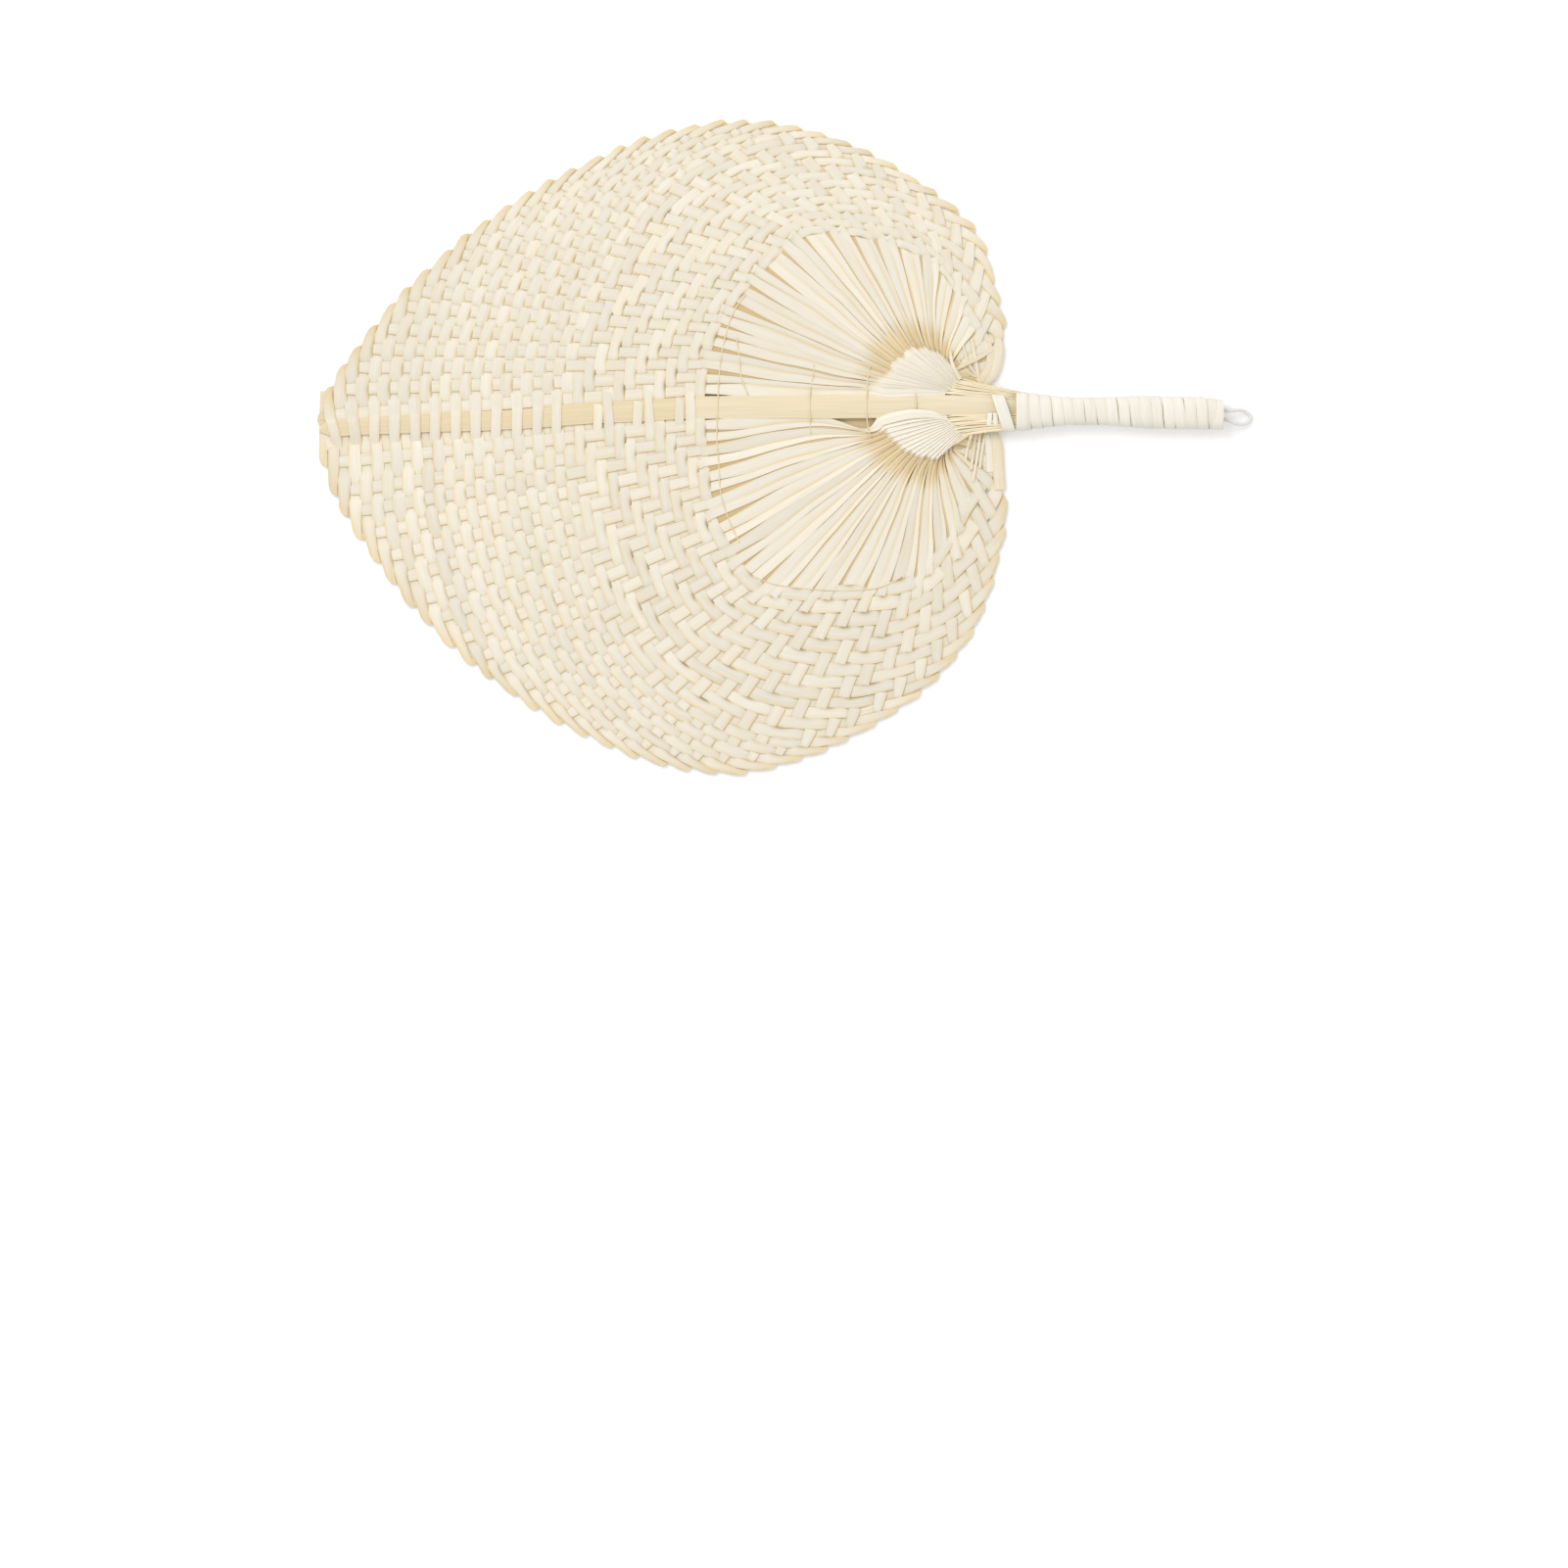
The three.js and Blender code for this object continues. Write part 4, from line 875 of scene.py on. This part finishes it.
    def back_route(self):
        """The crossings of the returning run, its wave and height at each, where it ends, and its reach past
        the midrib. By turns, one side's run crosses the midrib and the other's stops at it."""
        half, j = self.half, self.j
        points = [self.tip] + [half.cross(j - m, j) for m in range(1, j + 1)]
        values, base = np.zeros(j + 3), np.zeros(j + 2)
        values[0], base[0] = RIM_LIFT, RIM_HEIGHT
        for m in range(1, j):
            values[m] = WEAVE_LIFT * over(j - m, j)
            base[m] = blade_height(half.share(j - m, j))
        end_x = points[-1][0]
        rib_half = float(midrib_half_width(end_x))
        rib_lift = float(midrib_half_thickness(end_x)) + RIB_CLEAR
        base[j:] = float(midrib_height(end_x))
        last_step = points[-1] - points[-2]
        past_rib = (rib_half + PAST_RIB) / length(last_step)
        if j == 1 or j % 2 != half.is_upper:
            ending = j + past_rib
            values[j] = rib_lift * over(0, j)
            values[j + 1:] = -0.4 if values[j] > 0 else values[j] * 0.4
        else:
            ending = j - RIB_TUCK * rib_half / length(last_step)
            values[j:] = -rib_lift - 0.1
        points.append(points[-1] + last_step * 2)
        return points, values, base, ending, past_rib

    def way_back(self, front):
        """The returning run from the crease to the midrib."""
        half, j = self.half, self.j
        points, values, base, ending, past_rib = self.back_route()
        place = np.linspace(0, ending, max(5, int(RINGS_PER_LANE * ending)))
        far_enough = place * length(points[1] - points[0]) > self.clear
        place = place[far_enough & (place < j + 1.0)]
        run = catmull(points, place)
        tangent = unit(np.gradient(run, axis=0))
        wave = hold(values, place)
        height = np.interp(place, np.arange(j + 2), base) + wave
        width = self.back_width(place, tangent) * mix(1.0, 0.85, smooth((place - j) / past_rib))
        side = turned(tangent) * width[:, None] / 2
        # no part of the run starts before the crease
        past_crease = np.minimum((run - side - self.peak) @ self.ahead, (run + side - self.peak) @ self.ahead)
        keep = (past_crease > 0.1) | (place > 1)
        place, run, side, height, wave = (a[keep] for a in (place, run, side, height, wave))
        centre, side = raised(run, height), raised(side, 0.0)
        left = join([[self.fold[1] + UP * FOLD_LIFT], centre - side])
        right = join([[self.fold[0] + UP * FOLD_LIFT], centre + side])
        shade = self.shade * self.rng.uniform(0.965, 1.005)
        from_fold = np.append(0, place)
        stain = 0.05 + 0.55 * bump(from_fold, 0, 0.7) + wander(j + 700, from_fold * 0.6, 0.05)
        # Painted shade where the returning run dips under its neighbours.
        stain = stain + BACK_DIVE_SHADE * smooth(-np.append(0, wave) / WEAVE_LIFT)
        bow = np.zeros_like(left)
        bow[0] = self.bulge
        front.strip(
            left, right, UP, LEAF_THICKNESS, (shade, stain),
            crown=LEAF_CROWN, edge=BACK_EDGE, bow=bow, slit=self.slit_shadows(place),
        )
        half.tops.append((left + right) / 2)


halves = [Half(name) for name in SIDES]
for half in halves:
    for sector in range(SECTORS):
        front, under = Piece(), Piece()
        for j in range(1, LEAFLETS + 1):
            if (j - 1) * SECTORS // LEAFLETS == sector:
                Leaflet(half, j).lay(front, under)
        first = sector * NODES_PER_SECTOR + 1
        nodes = [f"leaflet_{half.name}_{first + n:02d}" for n in range(NODES_PER_SECTOR)]
        front.make(f"leaflets_{half.name}_{sector + 1}", LEAF, "leaf", nodes)
        under.make(f"leaf_undersides_{half.name}_{sector + 1}", SHADED_UNDERLEAF, "leaf")

# Midrib, and a tan sheet in the gap beneath it, which paints the shade there
MIDRIB_STEPS, MIDRIB_END = 160, 4.0
LINING_STEPS, LINING_DROP, LINING_LOWEST, LINING_THICKNESS = 40, 1.8, 0.2, 0.3
LINING_WIDTHS = [
    (-0.64 * LENGTH, 1.5), (-0.59 * LENGTH, 5.2), (-0.455 * LENGTH, 6.2), (-62, 8.6), (-44, 8.6), (-16, 5.0)
]
x = np.linspace(MIDRIB_TIP, MIDRIB_END, MIDRIB_STEPS)
on_blade = np.minimum(x, 0.0)
y = midrib_centre(on_blade) + wander(3, x * 0.05, 0.15) + 1.0 * smooth((x + 48) / 26)
half_width = midrib_half_width(x) * (1 + wander(4, x * 0.15, 0.015)) + 0.5 * smooth((x + 24) / 24)
half_width = half_width * smooth((x - MIDRIB_TIP) / 10 + 0.35)
half_thick = midrib_half_thickness(x)
stain = 0.1 + 0.22 * smooth((-0.44 * LENGTH - x) / 12) + wander(5, x * 0.04, 0.05)
centre = np.stack([x, y, midrib_height(on_blade)], -1)
midrib = Piece()
midrib.band(centre, sideways(half_width), half_thick * 1.7, (1.0, stain), crown=half_thick * 0.3)
midrib.make("midrib_cane", RIB, "rib", ["midrib"])

x = np.linspace(LINING_WIDTHS[0][0], LINING_WIDTHS[-1][0], LINING_STEPS)
centre = np.stack([x, midrib_centre(x), np.maximum(midrib_height(x) - LINING_DROP, LINING_LOWEST)], -1)
look = (1.0, 0.25 + wander(6, x * 0.1, 0.1))
lining = Piece()
lining.band(centre, sideways(steps(LINING_WIDTHS, x)), LINING_THICKNESS, look)
lining.make("midrib_shade_lining", SHADED_UNDERLEAF, "leaf")

# Leaf bases that run into the handle: fibres out of the hub's gather, over a base
WEDGE = {
    "upper": ((-24.0, 5.6, 12.0), (3.5, 4.2, 7.2)),
    "lower": ((-24.0, -2.2, -9.6), (3.5, -1.2, -6.6)),
}
WEDGE_SWEEP = {"upper": 0.85, "lower": 0.6}
WEDGE_FIBRES, WEDGE_STEPS = 13, 22
FIBRE_THICKNESS, FIBRE_LEAD, FIBRE_COVER = 0.6, (0.8, 3.2), (1.2, 1.7)
BASE_DROP, BASE_COVER, BASE_THICKNESSES = 0.5, 0.48, (1.2, 3.0)
for half in halves:
    (x0, in0, out0), (x1, in1, out1) = WEDGE[half.name]
    start, end = (np.array(p) for p in GATHER[half.name])
    bundle = Piece()
    rng = seeded(21 + half.is_lower)
    for n in range(WEDGE_FIBRES):
        f = (n + 0.5) / WEDGE_FIBRES + rng.uniform(-0.04, 0.04)
        from_x, from_y = mix(start, end, f)
        x = np.linspace(from_x - rng.uniform(*FIBRE_LEAD), x1, WEDGE_STEPS)
        s = (x - x[0]) / (x1 - x[0])
        y = mix(from_y, mix(in1, out1, f), s ** WEDGE_SWEEP[half.name]) + wander(60 + n, x * 0.2, 0.15)
        wide = np.abs(mix(out0 - in0, out1 - in1, s)) / WEDGE_FIBRES * rng.uniform(*FIBRE_COVER)
        wide = wide * mix(0.5, 1.0, smooth(s * 6))
        z = HANDLE_HEIGHT + mix(-0.5, 0.5, smooth(s * 7)) + rng.uniform(0, 0.3)
        z = z + 0.5 * np.sin(math.pi * f) * smooth(s * 4) + wander(80 + n, x * 0.15, 0.08)
        stain = (rng.uniform(0.0, 0.3) + wander(90 + n, x * 0.2, 0.08)) * smooth(s * 4)
        look = (rng.uniform(1.0, 1.07), stain)
        bundle.band(np.stack([x, y, z], -1), sideways(wide / 2), FIBRE_THICKNESS, look, crown=0.2, edge=0.24)
    x = np.linspace(x0, x1, WEDGE_STEPS)
    s = (x - x0) / (x1 - x0)
    y = mix((in0 + out0) / 2, (in1 + out1) / 2, s)
    wide = np.abs(mix(out0 - in0, out1 - in1, s)) * BASE_COVER
    centre = np.stack([x, y, np.full(WEDGE_STEPS, HANDLE_HEIGHT - BASE_DROP)], -1)
    bundle.band(centre, sideways(wide), mix(*BASE_THICKNESSES, s), (1.06, 0.1))
    bundle.make(f"leaf_base_{half.name}", ROOT, "root", [f"pleated_root_{half.name}"])

# Handle
WIDTH_STEPS = [(0, 7.3), (22.4, 5.3), (32, 5.3), (52, 6.2), (72, 6.2), (80, 5.2)]
GRIP_HALF_WIDTH = 6.2
HANDLE_OVAL = 0.8
SQUARE = 0.8
HANDLE_BEND, BEND_FROM, BEND_RUN = 0.7, 30, 40
END_DROP, DROP_FROM, DROP_RUN = 0.7, 70, 10
CORE_FROM, CORE_SHOULDER, CORE_TO = 2.2, 74, 79.5
CORE_RINGS, END_RINGS, CORE_GIRTH = 36, 6, 30
CORE_SIDES, CORE_INSET, CORE_LOWEST, CORE_SKEW = 40, 0.7, 0.8, 0.12
WRAP_THICKNESS, WRAP_LOWEST = 0.5, 0.42
WRAP_TURNS, WRAP_STEPS = 19.6, 36
WRAP_FROM, WRAP_TO, WRAP_FIRST_ANGLE = 2.9, 77.8, 0.6
WRAP_SHY, WRAP_TILT = 0.3, 0.06
COVERED, LEFT_OPEN, OPEN_TURNS = 1.015, 0.97, 6


def rounded(wave, power):
    """A wave between -1 and 1, made fuller for a section that is squarer than an oval."""
    return np.sign(wave) * np.abs(wave) ** power


def outwards(normals, from_middle):
    return np.where((normals * from_middle).sum(1, keepdims=True) < 0, -normals, normals)


def handle_drop(x):
    """How far the handle's middle lies below the axis of the fan in the photo."""
    bend = HANDLE_BEND * smooth((np.asarray(x) - BEND_FROM) / BEND_RUN)
    return bend + END_DROP * smooth((np.asarray(x) - DROP_FROM) / DROP_RUN)


def handle_section(x, angle, inset, lowest):
    """A point of the handle's rounded section, inset from its face and flat where it lies on the table."""
    half_width = steps(WIDTH_STEPS, x)
    half_height = HANDLE_OVAL * np.minimum(GRIP_HALF_WIDTH, half_width)
    y = (half_width - inset) * rounded(np.cos(angle), SQUARE)
    z = (half_height - inset) * rounded(np.sin(angle), SQUARE)
    return np.stack([x + 0 * y, y - handle_drop(x), np.maximum(z + HANDLE_HEIGHT, lowest)], -1)


x = np.linspace(CORE_FROM, CORE_SHOULDER, CORE_RINGS)
x = np.append(x, np.linspace(CORE_SHOULDER + 1, CORE_TO, END_RINGS))
angle = np.linspace(0, FULL_TURN, CORE_SIDES, endpoint=False)
rings = np.stack([handle_section(np.full(CORE_SIDES, a), angle, CORE_INSET, CORE_LOWEST) for a in x])
rings[-1, :, 0] += rings[-1, :, 1] * CORE_SKEW
around = np.broadcast_to(np.linspace(0, CORE_GIRTH, CORE_SIDES), rings.shape[:2])
core = Piece()
core.add(rings, np.stack([rings[..., 0], around], -1) * MM, look_rows(len(x) * CORE_SIDES, 1.0, 0.1))
core.make("handle_stalk", STALK, "root", ["handle_core"])

n = int(WRAP_TURNS * WRAP_STEPS)
angle = np.linspace(WRAP_FIRST_ANGLE, WRAP_FIRST_ANGLE + FULL_TURN * WRAP_TURNS, n)
turns = (angle - angle[0]) / FULL_TURN
rng = seeded(31)
nudge = np.interp(turns, np.arange(20), rng.uniform(-0.16, 0.16, 20)) + 0.1 * np.sin(angle * 1.7)
wound = np.clip((turns - 1) / (turns[-1] - 2), 0, 1)
x = mix(WRAP_FROM, WRAP_TO, wound) + nudge * smooth(wound * 12) * smooth((1 - wound) * 12)
proud = WRAP_THICKNESS / 2 - WRAP_SHY * (smooth(1.3 - turns) + smooth(turns - turns[-1] + 1.3))
outer = handle_section(x, angle, proud, WRAP_LOWEST)
around = unit(handle_section(x, angle + 0.02, proud, WRAP_LOWEST) - outer)
axis = np.stack([x, -handle_drop(x), np.full(n, HANDLE_HEIGHT)], -1)
out = outwards(unit(np.cross(around, AXIAL)), outer - axis)
close = np.full(22, COVERED)
close[rng.choice(np.arange(5, 19), OPEN_TURNS, replace=False)] = LEFT_OPEN
wide = (WRAP_TO - WRAP_FROM) / (WRAP_TURNS - 2) * np.interp(turns, np.arange(len(close)), close)
side = AXIAL * wide[:, None] / 2 + out * WRAP_TILT
look = (1.0 + wander(35, turns * 1.3, 0.02), 0.06 + wander(34, turns * 3.1, 0.05))
wrap = Piece()
wrap.strip(outer - side, outer + side, out, WRAP_THICKNESS, look, crown=0.06, edge=0.1)
wrap.make("handle_binding", BINDING, "binding", ["handle_wrap"])

# Neck tie, and two white tabs beside it
TIE_STEPS, TIE_AT, TIE_LEAN, TIE_SHIFT = 64, -4.1, 0.33, -0.8
TIE_HALF_WIDTH, TIE_HALF_HEIGHT, TIE_SQUARE = 6.8, 3.6, 0.75
TIE_STRIP, TIE_THICKNESS = 4.5, 0.5
TAB_PIXELS = [((1010, 428), 0.1), ((1016, 428), -0.05)]
TAB_STEPS, TAB_FROM, TAB_TO, TAB_HALF_WIDTH, TAB_THICKNESS = 8, 2.2, -2.6, 0.85, 0.4
TAB_HEIGHT, TAB_CURL = 1.9, 0.06
angle = np.linspace(0, FULL_TURN, TIE_STEPS, endpoint=False)
tie_y = TIE_HALF_WIDTH * rounded(np.cos(angle), TIE_SQUARE)
tie_z = TIE_HALF_HEIGHT * rounded(np.sin(angle), TIE_SQUARE)
path = np.stack([TIE_AT - tie_y * TIE_LEAN, tie_y + TIE_SHIFT, HANDLE_HEIGHT + tie_z], -1)
along = unit(np.roll(path, -1, 0) - np.roll(path, 1, 0))
side = unit(AXIAL - along * (along @ AXIAL)[:, None])
out = outwards(unit(np.cross(along, side)), path - path.mean(0))
side = side * TIE_STRIP / 2
tie = Piece()
tie.strip(path - side, path + side, out, TIE_THICKNESS, (1.0, 0.06), crown=0.1, closed=True)
for pixel, lean in TAB_PIXELS:
    x, y = photo_point(*pixel)
    t = np.linspace(TAB_FROM, TAB_TO, TAB_STEPS)
    tab = np.stack([x + t * lean, y + t, HANDLE_HEIGHT + TAB_HEIGHT - TAB_CURL * t ** 2], -1)
    tie.band(tab, AXIAL * TAB_HALF_WIDTH, TAB_THICKNESS, (1.03, 0.0), crown=0.05)
tie.make("neck_binding", BINDING, "binding", ["neck_tie"])

# Loose slivers beside the neck, by their pixels and width, and tan sheets in the holes there, which paint the
# shade
SLIVERS = {
    "upper": [
        ([(992, 346), (995, 364), (1001, 396)], 1.5),
        ([(974, 379), (986, 372), (1000, 365), (1017, 354)], 1.7),
        ([(1006, 348), (1009, 366), (1010, 392)], 1.1), ([(970, 358), (972, 372), (980, 388)], 1.4),
        ([(983, 352), (990, 374), (1004, 390)], 1.0), ([(976, 366), (992, 383), (1010, 386)], 0.8),
        ([(1019, 345), (1019, 362), (1014, 380), (1003, 391)], 4.0),
        ([(1010, 350), (1011, 368), (1006, 382), (998, 390)], 3.0),
    ],
    "lower": [
        ([(992, 443), (988, 456), (985, 472)], 1.1), ([(996, 442), (994, 460), (991, 480)], 1.2),
        ([(1001, 441), (998, 464), (993, 492)], 1.1), ([(1006, 441), (1003, 458), (1000, 478)], 1.2),
        ([(1013, 439), (1012, 452), (1010, 470)], 1.0), ([(974, 459), (983, 468), (993, 478)], 1.3),
        ([(975, 454), (984, 447), (996, 441)], 1.0),
        ([(1016, 442), (1018, 460), (1019, 480), (1021, 500)], 4.0),
        ([(1008, 444), (1010, 462), (1011, 482)], 2.6),
    ],
}
NECK_SHADE_LINING = {
    "upper": [
        [(972, 376), (988, 371), (1007, 363)], [(974, 384), (990, 380), (1010, 375)],
        [(978, 391), (994, 389), (1004, 386)],
    ],
    "lower": [
        [(974, 456), (990, 462), (1008, 470)], [(976, 449), (992, 453), (1010, 459)],
        [(980, 442), (996, 445), (1006, 448)],
    ],
}
SLIVER_STEPS, SLIVER_LIFT = 24, 0.3
NECK_STEPS, NECK_DROP, NECK_HALF_WIDTH = 16, 0.4, 1.7


def top_of(points, heights, place, count):
    """How high the points nearest to each place stand."""
    gaps = length(points[None] - place[:, None])
    return heights[np.argsort(gaps, axis=1)[:, :count]].max(1)


def photo_line(pixels, count):
    """A smooth line over pixels of the photo."""
    return Line([photo_point(*p) for p in pixels]).at(np.linspace(0, 1, count))


def side_of(line):
    """The way to the left of a flat line, at each of its points."""
    return raised(turned(unit(np.gradient(line, axis=0))), 0.0)


for half in halves:
    tops = join(half.tops)
    rng = seeded(41)
    slivers, lining = Piece(), Piece()
    for pixels, wide in SLIVERS[half.name]:
        place = photo_line(pixels, SLIVER_STEPS)
        top = top_of(tops[:, :2], tops[:, 2], place, 5)
        centre = raised(place, np.maximum(eased(top, 5), top) + SLIVER_LIFT)
        side = side_of(place) * wide / 2 * mix(0.6, 1.0, smooth(np.linspace(0, 4, SLIVER_STEPS)))[:, None]
        look = (rng.uniform(0.96, 1.03), rng.uniform(0.0, 0.35))
        slivers.band(centre, side, UNDERSIDE_THICKNESS, look, crown=0.05, edge=0.3)
    slivers.make(f"loose_slivers_{half.name}", LEAF, "leaf")
    for pixels in NECK_SHADE_LINING[half.name]:
        place = photo_line(pixels, NECK_STEPS)
        centre = raised(place, eased(top_of(tops[:, :2], tops[:, 2], place, 5), 4) - NECK_DROP)
        look = (1.0, rng.uniform(0.1, 0.5))
        lining.band(centre, side_of(place) * NECK_HALF_WIDTH, UNDERSIDE_THICKNESS, look)
    lining.make(f"neck_shade_lining_{half.name}", SHADED_UNDERLEAF, "leaf")

# Stitch threads across the ribs, by their pixels and the node that each stands for
STITCHES = [
    ([(762, 300), (748, 321), (740, 347), (736, 368), (734, 390), (733, 412), (732, 446), (734, 474),
      (736, 504), (744, 530), (756, 556)], ["rib_thread_1"]),
    ([(831, 372), (830, 385), (827, 402), (827, 428), (828, 444)], ["rib_thread_2"]),
    ([(888, 372), (886, 388), (885, 404), (885, 428), (889, 449)], ["rib_thread_3"]),
    ([(752, 344), (755, 366), (757, 386), (764, 404)], []),
    ([(934, 399), (935, 408), (935, 417)], []),
    ([(768, 588), (788, 596), (811, 600), (848, 603), (886, 602), (906, 597), (922, 588)], []),
]
THREAD_RADIUS, THREAD_SIDES = 0.3, 6
THREAD_STEPS, THREAD_LIFT, THREAD_TUCK = 14, 0.04, 0.9
stem_points = join([half.pleat.reshape(-1, 2) for half in halves])
stem_tops = join([half.height.ravel() for half in halves])


def stem_top(place):
    """How high the pleats stand at a place on the blade, midrib among them."""
    top = top_of(stem_points, stem_tops, place, 6)
    x, y = place.T
    on_rib = np.abs(y - midrib_centre(x)) < midrib_half_width(x) + 0.5
    return np.where(on_rib, np.maximum(top, midrib_height(x) + 1.15 * midrib_half_thickness(x)), top)


for number, (pixels, nodes) in enumerate(STITCHES):
    place = photo_line(pixels, THREAD_STEPS * len(pixels))
    top = stem_top(place)
    height = np.maximum(eased(top, 3), top) + THREAD_LIFT
    height[[0, -1]] -= THREAD_TUCK
    stitch = Piece()
    stitch.tube(raised(place, height), THREAD_RADIUS, (1.0, 0.1), THREAD_SIDES)
    stitch.make(f"stitch_{number + 1}", THREAD, "thread", nodes, ROUND_SHARP)

# Floor and light, in metres
FLOOR_HALF, FLOOR_LEVEL = 4.0, -0.0004
FLOOR_GREY, FLOOR_GLOW = 0.86, 0.24
WORLD_STRENGTH = 0.76
KEY_SIZE, KEY_ENERGY, KEY_PLACE = 1.2, 15.0, (-0.75, 0.95, 1.6)
corners = [(x * FLOOR_HALF, y * FLOOR_HALF, FLOOR_LEVEL) for x, y in ((-1, -1), (1, -1), (1, 1), (-1, 1))]
floor_mesh = bpy.data.meshes.new("floor")
floor_mesh.from_pydata(corners, [], [(0, 1, 2, 3)])
floor = bpy.data.objects.new("floor", floor_mesh)
scene.collection.objects.link(floor)
paper, add = new_material("pale_floor")
diffuse = add("ShaderNodeBsdfDiffuse", {"Color": (FLOOR_GREY, FLOOR_GREY, FLOOR_GREY, 1)})[0]
glow = add("ShaderNodeEmission", {"Strength": FLOOR_GLOW})[0]
dark = add("ShaderNodeBsdfTransparent", {"Color": (0, 0, 0, 1)})[0]
seen = add("ShaderNodeLightPath")["Is Camera Ray"]
pick = add("ShaderNodeMixShader", {0: seen, 1: dark, 2: glow})[0]
add("ShaderNodeOutputMaterial", {0: add("ShaderNodeAddShader", {0: diffuse, 1: pick})[0]})
floor_mesh.materials.append(paper)

world = bpy.data.worlds.new("studio")
world.use_nodes = True
background = world.node_tree.nodes["Background"]
background.inputs["Color"].default_value = (1, 1, 1, 1)
background.inputs["Strength"].default_value = WORLD_STRENGTH
scene.world = world
key_data = bpy.data.lights.new("key", "AREA")
key_data.shape = "DISK"
key_data.size = KEY_SIZE
key_data.energy = KEY_ENERGY
key = bpy.data.objects.new("key", key_data)
key.location = KEY_PLACE
key.rotation_euler = (-Vector(KEY_PLACE)).to_track_quat("-Z", "Y").to_euler()
scene.collection.objects.link(key)
